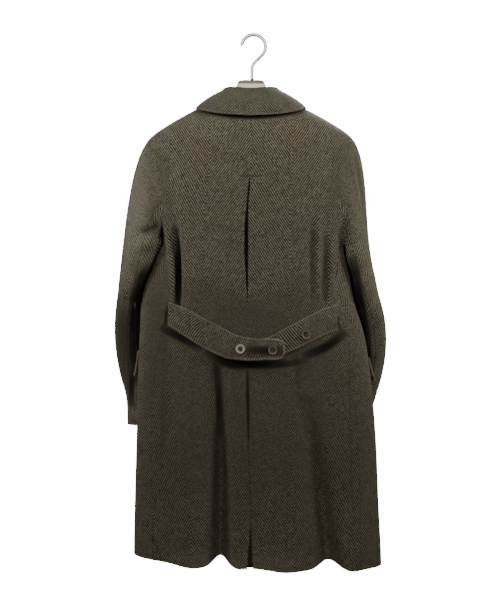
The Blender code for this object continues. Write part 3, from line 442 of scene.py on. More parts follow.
# Creases that are too fine for the solids: soft troughs (positive depth) and ridges (negative depth).
# Each runs on a curve through start, bend and end, seen square from the back (side 1) or front (side -1).
# Keys: group and side. Columns: start x, z, bend x, z, end x, z, half width, depth.
# A half width of two values is the one towards the wearer's left and the one towards the right,
# for a curve that runs down.
CREASES = {
    ("body", 1): (
        (0.1880, -0.400, 0.1580, -0.490, 0.1690, -0.610, 0.0050, -0.0090),
        (0.1640, -0.420, 0.1590, -0.510, 0.1605, -0.612, (0.0026, 0.0088), 0.0230),
        (0.1420, -0.300, 0.1330, -0.420, 0.1400, -0.560, 0.0160, -0.0030),
        (-0.1260, -0.400, -0.1320, -0.480, -0.1260, -0.585, 0.0070, 0.0045),
        (-0.1420, -0.390, -0.1430, -0.480, -0.1400, -0.590, 0.0070, -0.0040),
        (-0.1570, -0.430, -0.1580, -0.500, -0.1540, -0.590, 0.0060, 0.0060),
        (-0.1740, -0.420, -0.1720, -0.500, -0.1700, -0.590, 0.0060, -0.0040),
        (0.0900, -0.230, 0.0700, -0.330, 0.0600, -0.440, 0.0240, 0.0022),
        (-0.0950, -0.235, -0.0700, -0.330, -0.0560, -0.450, 0.0240, 0.0020),
        (0.1700, -0.270, 0.1300, -0.330, 0.0900, -0.360, 0.0130, 0.0016),
        (-0.1700, -0.270, -0.1350, -0.330, -0.1000, -0.370, 0.0130, 0.0016),
        (0.0300, -0.540, 0.0350, -0.590, 0.0300, -0.640, 0.0100, 0.0020),
        (-0.0300, -0.520, -0.0330, -0.580, -0.0300, -0.640, 0.0100, 0.0018),
        (0.0900, -0.520, 0.0850, -0.570, 0.0850, -0.615, 0.0090, 0.0018),
        (0.1100, -0.700, 0.1120, -0.760, 0.1160, -0.840, 0.0120, 0.0035),
        (-0.0350, -0.715, -0.0370, -0.780, -0.0400, -0.860, 0.0100, 0.0030),
        (-0.0900, -0.695, -0.0950, -0.760, -0.1050, -0.830, 0.0100, 0.0040),
        (-0.1500, -0.680, -0.1600, -0.760, -0.1650, -0.860, 0.0130, 0.0035),
        (0.1650, -0.660, 0.1680, -0.760, 0.1680, -0.880, 0.0130, 0.0030),
        (0.0440, -0.735, 0.0460, -0.830, 0.0450, -0.960, 0.0080, -0.0030),
        (0.0200, -0.317, 0.0020, -0.3185, -0.0220, -0.317, 0.0016, 0.0014),
        (0.0120, -0.7225, 0.0000, -0.7230, -0.0170, -0.7225, 0.0016, 0.0014),
    ),
    ("body", -1): (
        (0.1500, -0.420, 0.1400, -0.500, 0.1300, -0.600, 0.0100, 0.0050),
        (-0.1500, -0.420, -0.1420, -0.500, -0.1350, -0.590, 0.0100, 0.0050),
        (0.1250, -0.450, 0.1150, -0.530, 0.1000, -0.620, 0.0120, 0.0030),
        (-0.1280, -0.440, -0.1230, -0.540, -0.1200, -0.620, 0.0120, 0.0030),
        (0.0600, -0.560, 0.0900, -0.600, 0.1300, -0.610, 0.0090, 0.0025),
        (0.0600, -0.690, 0.0950, -0.720, 0.1300, -0.725, 0.0090, 0.0022),
        (0.0600, -0.825, 0.0700, -0.900, 0.0750, -0.990, 0.0130, 0.0035),
        (-0.1000, -0.640, -0.1100, -0.760, -0.1150, -0.900, 0.0150, 0.0030),
    ),
    ("left", 1): (
        (0.2480, -0.442, 0.2120, -0.424, 0.1880, -0.416, 0.0065, 0.0075),
        (0.2450, -0.468, 0.2160, -0.458, 0.1960, -0.450, 0.0140, -0.0070),
        (0.1950, -0.410, 0.1900, -0.475, 0.2180, -0.545, 0.0220, -0.0150),
        (0.2450, -0.330, 0.2280, -0.370, 0.1980, -0.395, 0.0110, 0.0030),
        (0.2800, -0.500, 0.2500, -0.530, 0.2200, -0.540, 0.0100, 0.0045),
        (0.2850, -0.570, 0.2600, -0.590, 0.2350, -0.590, 0.0090, 0.0045),
        (0.2850, -0.630, 0.2650, -0.660, 0.2450, -0.670, 0.0090, 0.0040),
        (0.2350, -0.690, 0.2450, -0.750, 0.2630, -0.815, 0.0060, -0.0045),
        (0.2300, -0.720, 0.2380, -0.770, 0.2530, -0.830, 0.0060, 0.0045),
    ),
    ("left", -1): (
        (0.2800, -0.440, 0.2500, -0.470, 0.2200, -0.480, 0.0110, 0.0050),
        (0.2850, -0.540, 0.2550, -0.570, 0.2250, -0.580, 0.0100, 0.0055),
        (0.2750, -0.600, 0.2550, -0.640, 0.2250, -0.650, 0.0100, 0.0050),
        (0.2600, -0.700, 0.2350, -0.720, 0.2150, -0.720, 0.0090, 0.0035),
    ),
    ("right", 1): (
        (-0.2130, -0.258, -0.2290, -0.340, -0.2440, -0.455, 0.0050, -0.0050),
        (-0.2230, -0.258, -0.2410, -0.340, -0.2540, -0.455, 0.0060, 0.0045),
        (-0.2450, -0.440, -0.2250, -0.462, -0.2050, -0.470, 0.0090, 0.0050),
        (-0.2620, -0.500, -0.2400, -0.530, -0.2180, -0.540, 0.0090, 0.0045),
        (-0.2800, -0.560, -0.2600, -0.590, -0.2350, -0.600, 0.0090, 0.0045),
        (-0.2850, -0.620, -0.2650, -0.655, -0.2450, -0.660, 0.0090, 0.0045),
        (-0.2750, -0.700, -0.2600, -0.745, -0.2500, -0.800, 0.0080, 0.0040),
    ),
    ("right", -1): (
        (-0.2600, -0.440, -0.2350, -0.470, -0.2100, -0.480, 0.0110, 0.0050),
        (-0.2750, -0.540, -0.2500, -0.570, -0.2200, -0.580, 0.0100, 0.0055),
        (-0.2800, -0.600, -0.2550, -0.640, -0.2250, -0.650, 0.0100, 0.0050),
        (-0.2600, -0.700, -0.2350, -0.720, -0.2150, -0.720, 0.0090, 0.0035),
    ),
}
CREASE_STEPS = 20         # straight steps in a crease's curve
CREASE_FACING = (0.1, 0.5)   # a crease fades in where the cloth turns to its side: start and span
CREASE_ENDS = 0.7         # power of the sine along a crease
SHADE_FACING = (0.3, 0.4)    # the same for the shades
SHADE_ENDS = 0.3

# Painted shade: darkening painted into the cloth's colour where shadow falls, in deep folds, on cloth that
# lies under an edge such as the belt and the collar, and in the gap between sleeve and body, with a few dark
# seam lines and a darker patch on the left strap's free end, on curves like the creases'.
# Columns: start x, z, bend x, z, end x, z, half width, share of painted shade
SHADES = {
    ("body", 1): (
        (0.1610, -0.424, 0.1570, -0.515, 0.1580, -0.610, (0.0034, 0.0090), 0.985),
        (0.1765, -0.578, 0.1785, -0.607, 0.1845, -0.642, 0.0035, 0.90),
        (0.1960, -0.636, 0.1560, -0.655, 0.1000, -0.684, 0.0105, 0.97),
        (0.1020, -0.688, 0.0233, -0.736, -0.1250, -0.706, 0.0085, 0.95),
        (0.0860, -0.690, 0.0500, -0.724, 0.0000, -0.716, 0.0110, 0.96),
        (0.2080, -0.470, 0.1900, -0.620, 0.2080, -0.860, 0.0340, 0.30),
        (0.1900, -0.402, 0.1865, -0.440, 0.1885, -0.463, 0.0028, 0.70),
        (0.2010, -0.255, 0.1800, -0.330, 0.1780, -0.430, 0.0170, 0.18),
        (-0.1950, -0.255, -0.1760, -0.330, -0.1740, -0.430, 0.0170, 0.16),
        (-0.2010, -0.645, -0.1690, -0.682, -0.1050, -0.700, 0.0110, 0.97),
        (-0.1770, -0.598, -0.1843, -0.622, -0.1917, -0.648, 0.0028, 0.80),
        (0.1400, -0.164, 0.0000, -0.222, -0.1400, -0.164, 0.0058, 0.95),
        (0.0250, -0.3185, 0.0022, -0.3200, -0.0250, -0.3185, 0.0018, 0.60),
        (0.0120, -0.7225, 0.0000, -0.7235, -0.0200, -0.7225, 0.0018, 0.60),
        (0.0075, -0.718, 0.0070, -0.795, 0.0049, -0.885, 0.0031, 0.96),
        (0.0053, -0.860, 0.0040, -0.950, 0.0010, -1.060, 0.0018, 0.45),
        (0.0790, -0.680, 0.0710, -0.770, 0.0680, -0.880, (0.0050, 0.0130), 0.74),
        (0.1500, -0.560, 0.0020, -0.690, -0.1500, -0.570, 0.0600, 0.26),
        (0.2600, -0.800, 0.0000, -0.840, -0.2600, -0.800, 0.1900, 0.22),
        (-0.2097, -0.640, -0.2090, -0.840, -0.2140, -1.060, 0.0018, 0.42),
        (0.1898, -0.636, 0.1890, -0.780, 0.1930, -0.960, (0.0016, 0.0120), 0.34),
        (-0.1320, -0.430, -0.1330, -0.510, -0.1280, -0.600, 0.0080, 0.14),
        (-0.1580, -0.440, -0.1590, -0.510, -0.1550, -0.600, 0.0070, 0.22),
    ),
    ("left", 1): (
        (0.2090, -0.508, 0.2628, -0.538, 0.2590, -0.775, 0.0150, 0.985),
        (0.1930, -0.400, 0.1830, -0.450, 0.2060, -0.520, 0.0038, 0.85),
        (0.2608, -0.715, 0.2651, -0.770, 0.2706, -0.822, 0.0085, 0.90),
        (0.2330, -0.438, 0.2080, -0.424, 0.1850, -0.416, 0.0062, 0.50),
        (0.2800, -0.570, 0.2920, -0.670, 0.2850, -0.800, 0.0180, 0.50),
    ),
    ("right", 1): (
        (-0.2150, -0.485, -0.2433, -0.605, -0.2640, -0.745, 0.0110, 0.97),
        (-0.2230, -0.258, -0.2410, -0.340, -0.2540, -0.455, 0.0070, 0.30),
    ),
    ("belt_left", 1): (
        (0.0100, -0.684, -0.0260, -0.6865, -0.0680, -0.6850, 0.0095, 0.86),
    ),
}

# Painted light: cloth painted paler where light falls on it, on the rounded sleeves and at the hem, on curves
# of the same columns, with the share of painted light
PAINTED_LIGHTS = {
    ("left", 1): (
        (0.2500, -0.250, 0.2450, -0.400, 0.2520, -0.560, 0.0300, 0.45),
        (0.2480, -0.760, 0.2560, -0.800, 0.2580, -0.862, 0.0100, 0.50),
    ),
    ("right", 1): (
        (-0.2400, -0.250, -0.2450, -0.400, -0.2640, -0.600, 0.0300, 0.30),
    ),
    ("body", 1): (
        (0.1800, -1.130, 0.0000, -1.150, -0.1900, -1.130, 0.0300, 0.20),
    ),
}

# Sewing
CLOTH_STEP = 0.0036       # spacing of the points of a panel
EDGE_STEPS = (0.0008, 0.0024)   # extra points close to an edge, so that it can be round
EDGE_LEFT = (0.30, 0.78)  # share of the wall left at an edge and at the first of those points
STITCH_INSET = 0.0062     # rows of stitching run this far inside an edge
STITCH_HOLLOW = 0.0011    # and draw the cloth in this much
STITCH_HOLLOW_WIDTH = 0.0020
TACKS = (-0.3190, -0.7230)   # heights of the two bar tacks on the centre back
TACK_REACH = 0.0045       # rows lie close together this far above and below a tack
TACK_CLEAR = 0.0052       # and no other rows lie nearer to it than this
TACK_ROWS = 10
GIRTH_STEPS = 120         # steps in which the girth of a panel is measured
RUB_WIDTH = 0.0036        # edges are rubbed paler over this width
STITCH = 0.0034           # length of a stitch
STITCH_PITCH = 0.0046
STITCH_RADIUS = 0.00034
STITCH_SIDES = 6
STITCH_PLACES = (0.0, 0.22, 0.78, 1.0)   # rings of a stitch, as shares of its length
STITCH_DIPS = (-1.2, 0.35, 0.35, -1.2)   # and their heights above the cloth, in radii
EDGE_WEAR = 0.55          # share of wear right on an edge
# Edge wear and painted highlight: the belt's edges and free end are painted paler than wear alone
STRAP_WEAR_AND_HIGHLIGHT = 1.1          # the belt's edges are rubbed this many times as much
TIP_WEAR_AND_HIGHLIGHT = 1.4            # and this much more at the free end
TIP_REACH = 0.06
TIP_EASE = 0.05
FLAP_WEAR = 1.6
FLAP_FLARE = 1.6          # the flap's corner stands off this many times its flare in the solids
ALL_EDGES = (True, True, True, True)     # rounded edges: top, bottom, first and last column
PANEL_EDGES = (False, True, True, True)
# Number of points and length in metres of the grids' sides
GRIDS = {
    "back": (84, 0.22),
    "front": (96, 0.36),
    "lapel": (60, 0.36),
    "lapel_width": (30, 0.07),
    "collar": (120, 0.42),
    "collar_fall": (44, 0.055),
    "strap_width": (30, 0.05),
    "flap": (60, 0.17),
    "flap_height": (26, 0.055),
}
STRAP_POINTS = 110
BEHIND_ROWS = 60          # rows and columns of the strips behind the centre back
BEHIND_COLUMNS = 12
SLEEVE_ROWS = 74          # rows of the hanging sleeve
HEAD_STEPS = 38           # steps from the armhole to the first hanging row
HEAD_EDGE = (0.0, 0.006, 0.018)   # shares of the way for the rows close to the armhole
RING_STEP = 0.004         # spacing of the points round the armhole
RING_LEAST = 0.0012       # points nearer than this to the one before are left out
UNDERARM_STEPS = 16
SLEEVE_WEAVE_SHIFT = -0.12   # moves the stripes round the sleeve


def refined(places, step):
    """Places with even ones put between them, so that none are further apart than the step."""
    parts = []
    for start, end in zip(places[:-1], places[1:]):
        count = max(1, math.ceil(abs(end - start) / step))
        parts.append(np.linspace(start, end, count, endpoint=False))
    return np.concatenate(parts + [np.array(places[-1:])])


def edged(count, length, first=True, last=True):
    """Shares from 0 to 1, even inside and with extra ones close to the ends of a given length."""
    near = np.array(EDGE_STEPS) / length
    inner = np.linspace(0, 1, count)
    parts = [inner[:1], near] if first else [inner[:1]]
    parts.append(inner[1:-1])
    parts += [1 - near[::-1], inner[-1:]] if last else [inner[-1:]]
    return np.sort(np.concatenate(parts))


def lengths(points, axis):
    """Distance run along the grid from its first row or column."""
    steps = np.linalg.norm(np.diff(points, axis=axis), axis=-1)
    start = np.zeros_like(steps[:1] if axis == 0 else steps[:, :1])
    return np.concatenate([start, np.cumsum(steps, axis=axis)], axis=axis)


def to_end(points, axis):
    """Distance run along the grid up to its last row or column."""
    return np.flip(lengths(np.flip(points, axis), axis), axis)


def along_path(at, run, path):
    """Places on a path at given lengths of its run."""
    return np.stack([np.interp(at, run, path[:, axis]) for axis in range(3)], axis=-1)


def ring_faces(index):
    """Quads between neighbouring rings of vertex numbers; a ring runs along the last axis and closes."""
    after = np.roll(index, -1, axis=-1)
    corners = [index[..., :-1, :], after[..., :-1, :], after[..., 1:, :], index[..., 1:, :]]
    return np.stack(corners, axis=-1).reshape(-1, 4)


def near_curve(points, row):
    """Distance of grid points from a curve of a table, in half widths, and their share of the way along."""
    t = np.linspace(0, 1, CREASE_STEPS + 1)
    place = points[..., [0, 2]] - np.array([COAT_X, 0.0])
    start, bend, end = (np.array(row[at:at + 2]) for at in (0, 2, 4))
    curve = np.outer((1 - t)**2, start) + np.outer(2 * t * (1 - t), bend) + np.outer(t**2, end)
    run = np.diff(curve, axis=0)
    offset = place[:, :, None] - curve[:-1]
    share = np.clip(np.sum(offset * run, axis=-1) / np.sum(run**2, axis=-1), 0, 1)
    distance = np.linalg.norm(offset - share[..., None] * run, axis=-1)
    nearest = distance.argmin(axis=-1)
    pick = np.take_along_axis(share, nearest[..., None], axis=-1)[..., 0]
    turned = run[:, 0] * offset[..., 1] - run[:, 1] * offset[..., 0]
    beyond = np.take_along_axis(turned, nearest[..., None], axis=-1)[..., 0] > 0
    first, other = np.broadcast_to(row[6], 2)
    return distance.min(axis=-1) / np.where(beyond, first, other), (nearest + pick) / CREASE_STEPS


def curves(table, group, points, normals, facing):
    """For each curve of a group: distance across, share along, how far the cloth faces it, and strength."""
    start, span = facing
    for side in (1, -1):
        for row in table.get((group, side), ()):
            across, along = near_curve(points, row)
            yield across, along, smooth_step((normals[..., 1] * side + start) / span), row[7]


def creased(points, normals, group):
    """Points moved along their normals by the creases of a group.

    Each crease is a bell across its curve, exp(-(distance / half width) squared), times a sine along it.
    """
    moved = np.zeros(points.shape[:2])
    for across, along, facing, depth in curves(CREASES, group, points, normals, CREASE_FACING):
        moved -= depth * np.exp(-across**2) * np.sin(np.pi * along) ** CREASE_ENDS * facing
    creased_points = points + normals * moved[..., None]
    fresh = grid_normals(creased_points)
    return creased_points, fresh * np.sign(np.sum(fresh * normals, axis=-1, keepdims=True))


def shaded(points, normals, group, table=SHADES):
    """Share of painted shade that grid points get in deep folds and under edges, by the strongest of the
    group's curves; with the table of painted light it gives the share of painted light instead.

    Across a curve it is flat in the middle, exp(-(distance / half width) to the fourth), and it is
    multiplied by a sine along the curve.
    """
    lost = np.zeros(points.shape[:2])
    for across, along, facing, share in curves(table, group, points, normals, SHADE_FACING):
        here = share * np.exp(-across**4) * np.sin(np.pi * along) ** SHADE_ENDS * facing
        lost = np.maximum(lost, here)
    return lost


def add_mesh(name, vertices, faces, uv, materials, face_material=None, look=None):
    """Smooth mesh object from arrays of vertices, quads and one cloth coordinate for each vertex.

    Its last argument holds the share of painted shade and the share of edge wear and painted light at each
    vertex.
    """
    mesh = bpy.data.meshes.new(name)
    mesh.vertices.add(len(vertices))
    mesh.vertices.foreach_set("co", np.ascontiguousarray(vertices, dtype=np.float32).ravel())
    mesh.loops.add(faces.size)
    mesh.loops.foreach_set("vertex_index", np.ascontiguousarray(faces, dtype=np.int32).ravel())
    mesh.polygons.add(len(faces))
    mesh.polygons.foreach_set("loop_start", np.arange(0, faces.size, faces.shape[1], dtype=np.int32))
    mesh.update(calc_edges=True)
    layer = mesh.uv_layers.new(name="cloth")
    layer.uv.foreach_set("vector", np.ascontiguousarray(uv[faces.ravel()], dtype=np.float32).ravel())
    if look is not None:
        layer = mesh.uv_layers.new(name="look")
        layer.uv.foreach_set("vector", np.ascontiguousarray(look[faces.ravel()], dtype=np.float32).ravel())
    for material in materials:
        mesh.materials.append(material)
    if face_material is not None:
        mesh.polygons.foreach_set("material_index", face_material.astype(np.int32))
    mesh.shade_smooth()
    made = bpy.data.objects.new(name, mesh)
    bpy.context.scene.collection.objects.link(made)
    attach(made, "root")
    return made


def edge_shares(count, first, last):
    """Share of the wall's thickness along a row: less at its soft ends."""
    left = np.ones(count)
    if first:
        left[:2] = EDGE_LEFT
    if last:
        left[-2:] = EDGE_LEFT[::-1]
    return left


def sheet(name, points, normals, thickness, uv, soft, materials, press=None,
          lost=0.0, wear_and_painted_light=0.0):
    """Closed sheet of cloth that stands for the node of the same name.

    The grid is moved out and in by half its thickness. soft says which edges (top, bottom, first, last)
    are rounded, press draws the outer side in, lost is the share of painted shade, and the last argument the
    share of edge wear and of painted light.
    """
    rows, columns = points.shape[:2]
    count = rows * columns
    left = np.minimum(edge_shares(rows, *soft[:2])[:, None], edge_shares(columns, *soft[2:])[None, :])
    half = thickness / 2 * left
    drawn = half if press is None else half - press
    vertices = np.concatenate([
        (points + normals * drawn[..., None]).reshape(-1, 3),
        (points - normals * half[..., None]).reshape(-1, 3),
    ])
    top = np.arange(count).reshape(rows, columns)
    outer = np.stack([top[:-1, :-1], top[:-1, 1:], top[1:, 1:], top[1:, :-1]], -1).reshape(-1, 4)
    inner = outer[:, ::-1] + count
    border = np.concatenate([top[0, :-1], top[:-1, -1], top[-1, :0:-1], top[:0:-1, 0]])
    after = np.roll(border, -1)
    rim = np.stack([after, border, border + count, after + count], -1)
    faces = np.concatenate([outer, inner, rim])
    along = points[1:, :-1] - points[:-1, :-1]
    across = points[:-1, 1:] - points[:-1, :-1]
    cell = np.cross(across, along)
    if np.sum(cell * normals[:-1, :-1]) < 0:
        faces = faces[:, ::-1]
    lining = np.concatenate([np.zeros(len(outer)), np.ones(len(inner)), np.zeros(len(rim))])
    face_material = lining if len(materials) > 1 else None
    flat_uv = np.concatenate([uv.reshape(-1, 2)] * 2)
    # painted shade, and edge wear with painted light, go to the mesh as a second set of coordinates
    look = np.stack([np.zeros((rows, columns)) + lost, np.zeros((rows, columns)) + wear_and_painted_light], axis=-1)
    look = np.concatenate([look.reshape(-1, 2)] * 2)
    made = add_mesh(f"{name}_cloth", vertices, faces, flat_uv, materials, face_material, look)
    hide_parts(name)
    width = float(lengths(points, 1)[:, -1].max())
    length = float(lengths(points, 0)[-1].max())


def stitched(distance):
    """How far a row of stitching draws the cloth in, at distances from an edge."""
    return STITCH_HOLLOW * np.exp(-((distance - STITCH_INSET) / STITCH_HOLLOW_WIDTH) ** 2)


def rubbed_edge(distance):
    """Share of wear at distances from an edge."""
    return EDGE_WEAR * np.exp(-(distance / RUB_WIDTH) ** 2)


def add_rings(name, rings, material):
    """Sewing thread through rings of points, open at its ends."""
    vertices = rings.reshape(-1, 3)
    faces = ring_faces(np.arange(len(vertices)).reshape(rings.shape[:-1]))
    made = add_mesh(name, vertices, faces, np.zeros((len(vertices), 2)), [material])


def stitch_row(name, path, normals, material):
    """Row of short stitches along a path: each a six-sided thread that dips into the cloth at its ends."""
    run = lengths(path[:, None], 0)[:, 0]
    count = int(run[-1] / STITCH_PITCH)
    start = (np.arange(count) + 0.5) * run[-1] / count - STITCH / 2
    dip = np.array(STITCH_DIPS) * STITCH_RADIUS
    at = start[:, None] + np.array(STITCH_PLACES) * STITCH
    out = unit(along_path(at, run, normals))
    middle = along_path(at, run, path) + out * dip[None, :, None]
    ahead = unit(np.gradient(middle, axis=1))
    side = unit(np.cross(ahead, out))
    up = np.cross(side, ahead)
    angle = np.linspace(0, 2 * np.pi, STITCH_SIDES, endpoint=False)[:, None]
    ring = side[:, :, None] * np.cos(angle) + up[:, :, None] * np.sin(angle)
    add_rings(name, middle[:, :, None] + ring * STITCH_RADIUS, material)


def stitch_edge(name, points, normals, thickness, thread, clear, last=True):
    """Row of stitches on the outer side of a sheet, inside its last or first column.

    clear is the number of rows left out at the two ends.
    """
    rows = slice(clear[0], -clear[1])
    columns = slice(None, None, -1 if last else 1)
    points, normals = points[rows, columns], normals[rows, columns]
    run = lengths(points, 1)
    place = np.array([along_path(STITCH_INSET, row, line) for row, line in zip(run, points)])
    out = unit(np.array([along_path(STITCH_INSET, row, line) for row, line in zip(run, normals)]))
    stitch_row(name, place + out * (thickness / 2 - STITCH_HOLLOW), out, thread)


def panel_turns(start, end, z, side, share):
    """Turns between two edges, spaced by shares of the girth on each row."""
    fine = start[:, None] + (end - start)[:, None] * np.linspace(0, 1, GIRTH_STEPS + 1)
    girth = lengths(body(fine * side, z[:, None] + 0 * fine), 1)
    return np.array([np.interp(share * run[-1], run, turns) for run, turns in zip(girth, fine)])


def outer_turns(z, side, front):
    """Turn of a panel's outer edge: shoulder seam, armhole, then side seam."""
    seam = np.abs(turn_at(column(SIDE_SEAM, SEAM_COLUMNS, NAMES[side], z) * side, z))
    if front:
        arm = np.radians(column(ARMHOLE, ARMHOLE_COLUMNS, "front_turn", z))
    else:
        arm = np.abs(turn_at(column(ARMHOLE, ARMHOLE_COLUMNS, "back_x", z) * side, z))
    low = ARMHOLE[-1][0]
    under = np.clip((low - z) / (low - UNDERARM_Z), 0, 1)
    turns = arm + (seam - arm) * under
    return np.where(z >= SHOULDER_Z - 1e-9, np.pi / 2, turns)


def panel_rows():
    """Row heights from the neck to the hem, close together near the shoulder point and the hem."""
    low = ARMHOLE[-1][0]
    keys = [NECK_Z, SHOULDER_Z, SHOULDER_Z - 0.004, low, (low + UNDERARM_Z) / 2, UNDERARM_Z, HEM_Z]
    near_hem = HEM_Z + np.array(EDGE_STEPS)
    even = refined(keys, CLOTH_STEP)
    for tack in TACKS:
        even = even[np.abs(even - tack) > TACK_CLEAR]
        even = np.concatenate([even, tack + np.linspace(-TACK_REACH, TACK_REACH, TACK_ROWS)])
    return np.sort(np.concatenate([even, near_hem]))[::-1]


def cloth_coordinates(points, mirrored=False, shift=0.0, level=0):
    """Width along the grid's rows and length square to them, in metres of cloth.

    Length starts on the level row.
    """
    width = lengths(points, 1)
    if mirrored:
        width = width[:, -1:] - width
    run = np.gradient(points, axis=1)[:-1]
    run = run / np.maximum(np.linalg.norm(run, axis=-1, keepdims=True), 1e-9)
    steps = np.diff(points, axis=0)
    steps = np.linalg.norm(steps - np.sum(steps * run, axis=-1, keepdims=True) * run, axis=-1)
    length = np.concatenate([np.zeros_like(steps[:1]), np.cumsum(steps, axis=0)])
    return np.stack([width + shift, length - length[level]], axis=-1)


def underarm_row(z):
    """Row of a panel that lies level with the underarm."""
    return int(np.argmin(np.abs(z - UNDERARM_Z)))


def build_back(side, tweed):
    """Half of the back, from the centre back seam to shoulder, armhole and side seam."""
    z = panel_rows()
    lean = column(CENTRE_BACK, CENTRE_COLUMNS, "lean", z)
    opening = np.maximum(column(CENTRE_BACK, CENTRE_COLUMNS, "opening", z), 0)
    start = turn_at(lean + side * opening / 2, z) * side
    share = edged(*GRIDS["back"])
    turns = panel_turns(start, outer_turns(z, side, False), z, side, share) * side
    heights = z[:, None] + 0 * turns
    points, normals = body(turns, heights), body_normal(turns, heights)
    # painted shade in the back's folds and under its edges, and painted light at the hem
    lost = shaded(points, normals, "body")
    wear_and_painted_light = shaded(points, normals, "body", PAINTED_LIGHTS)
    uv = cloth_coordinates(points, level=underarm_row(z))
    points, normals = creased(points, normals, "body")
    sheet(f"back_{NAMES[side]}", points, normals, CLOTH, uv, PANEL_EDGES, [tweed],
          lost=lost, wear_and_painted_light=wear_and_painted_light)


def build_front(side, tweed):
    """Half of the front, from side seam, armhole and shoulder to its front edge: its points and normals."""
    z = panel_rows()
    start = outer_turns(z, side, True)
    end = mirrored_front_turn(front_edge_x(z), z, side)
    turns = panel_turns(start, end, z, side, edged(*GRIDS["front"]))
    heights = z[:, None] + 0 * turns
    points, normals = front_surface(turns, heights, side)
    # painted shade from the body's curves
    lost = shaded(points, normals, "body")
    uv = cloth_coordinates(points, mirrored=True, level=underarm_row(z))
    points, normals = creased(points, normals, "body")
    distance = to_end(points, 1)
    sheet(f"front_{NAMES[side]}", points, normals, CLOTH, uv, PANEL_EDGES, [tweed], press=stitched(distance),
          lost=lost, wear_and_painted_light=rubbed_edge(distance))
    return points, normals


def build_behind(row, tweed):
    """Strip of cloth behind the centre back, at a depth inside the back."""
    name, high, low, half, start, slope, belly, lost = row
    z = np.linspace(high, low, BEHIND_ROWS)
    lean = column(CENTRE_BACK, CENTRE_COLUMNS, "lean", z)
    x = lean[:, None] + np.linspace(-1, 1, BEHIND_COLUMNS) * half
    heights = z[:, None] + 0 * x
    turns = turn_at(x, heights)
    normals = body_normal(turns, heights)
    t = np.linspace(0, 1, BEHIND_ROWS)
    depth = start + slope * t + belly * np.sin(np.pi * t)
    points = body(turns, heights) - normals * depth[:, None, None]
    # painted shade inside the pleat and the vent
    sheet(name, points, normals, CLOTH, cloth_coordinates(points), (False, True, False, False), [tweed],
          lost=lost)


def build_lapel(side, tweed, thread):
    """Lapel lying on its front, between the roll line and its outer edge."""
    name = f"lapel_{NAMES[side]}"
    share = LAPEL[0][0] + (LAPEL[-1][0] - LAPEL[0][0]) * edged(*GRIDS["lapel"])
    z = BREAK_Z + (NECK_Z - BREAK_Z) * share
    reach = column(LAPEL, LAPEL_COLUMNS, "reach", share)
    rise = column(LAPEL, LAPEL_COLUMNS, "edge_rise", share)
    inner = front_edge_x(z) + LAPEL_START
    edge = front_edge_x(z) + reach
    if side == RIGHT:
        inner = np.maximum(inner, -front_edge_x(z) + LAPEL_UNDER)
        edge = np.maximum(edge, inner + LAPEL_LEAST)
    across = edged(*GRIDS["lapel_width"])
    x = inner[:, None] + (edge - inner)[:, None] * across
    heights = z[:, None] + rise[:, None] * across
    turns = mirrored_front_turn(x, heights, side)
    points, normals = front_surface(turns, heights, side)
    points = points + normals * (LAPEL_RISE + LAPEL_BELLY * np.sin(np.pi * across))[None, :, None]
    distance = to_end(points, 1)
    sheet(name, points, normals, CLOTH, cloth_coordinates(points), ALL_EDGES, [tweed],
          press=stitched(distance),
          wear_and_painted_light=rubbed_edge(distance))
    stitch_edge(f"{name}_stitches", points, normals, CLOTH, thread, (6, 3))


def build_collar(tweed, thread):
    """Turned-over collar: a stand on the neck seam, a round fold and a fall over the shoulders."""
    turn = (2 * edged(*GRIDS["collar"]) - 1) * COLLAR[-1][0]
    at = np.abs(turn)
    value = {name: column(COLLAR, COLLAR_COLUMNS, name, at)[:, None] for name in COLLAR_COLUMNS[1:]}
    edge_turn = np.radians(value["edge_turn"][:, 0]) * np.sign(turn)
    seam = body(np.radians(turn), NECK_Z + 0 * turn)
    out = unit(body_normal(np.radians(turn), NECK_Z + 0 * turn) * np.array([1.0, 1.0, 0.0]))
    up = np.array([0.0, 0.0, 1.0])
    edge_z = value["edge_z"][:, 0]
    edge = body(edge_turn, edge_z) + body_normal(edge_turn, edge_z) * value["edge_off"]
    radius = COLLAR_FOLD_RADIUS
    foot = seam + up * COLLAR_LIFT
    head = seam + out * value["lean"] + up * np.maximum(value["stand"] - radius, COLLAR_LIFT + COLLAR_LEAST)
    middle = head + out * radius
    profile = [foot + (head - foot) * t for t in np.linspace(0, 1, 8)[:-1]]
    for a in np.linspace(0, np.pi, 13):
        profile.append(middle - out * radius * math.cos(a) + up * radius * math.sin(a))
    shoulder = profile[-1]
    swell = unit(np.cross(np.gradient(seam, axis=0), unit(edge - shoulder)))
    swell = swell * np.sign(np.sum(swell * (out + up), axis=-1, keepdims=True))
    for t in edged(*GRIDS["collar_fall"], first=False)[1:]:
        profile.append(shoulder + (edge - shoulder) * t + swell * COLLAR_BELLY * math.sin(math.pi * t))
    points = np.stack(profile, axis=1)
    normals = grid_normals(points)
    if np.sum(normals[:, -1] * (out + up)) < 0:
        normals = -normals
    distance = to_end(points, 1)
    uv = np.stack([lengths(points, 0) - lengths(points, 0)[-1:] / 2, lengths(points, 1)], axis=-1)
    # painted shade over the whole collar, and wear on its edge
    sheet("collar", points, normals, DOUBLE_CLOTH, uv, (True, True, False, True), [tweed],
          press=stitched(distance),
          lost=COLLAR_SHADE, wear_and_painted_light=COLLAR_WEAR * rubbed_edge(distance))
    stitch_edge("collar_stitches", points, normals, DOUBLE_CLOTH, thread, (4, 4))


def armhole_ring(side):
    """Turns and heights round the armhole: shoulder point, down the back, under the arm, up the front."""
    low = ARMHOLE[-1][0]
    z = refined([row[0] for row in ARMHOLE], RING_STEP)
    under = np.linspace(low, UNDERARM_Z, UNDERARM_STEPS)[1:]
    z = np.concatenate([z, under])
    back = outer_turns(z, side, False)
    front = outer_turns(z, side, True)
    return np.concatenate([back, front[-2:0:-1]]) * side, np.concatenate([z, z[-2:0:-1]])


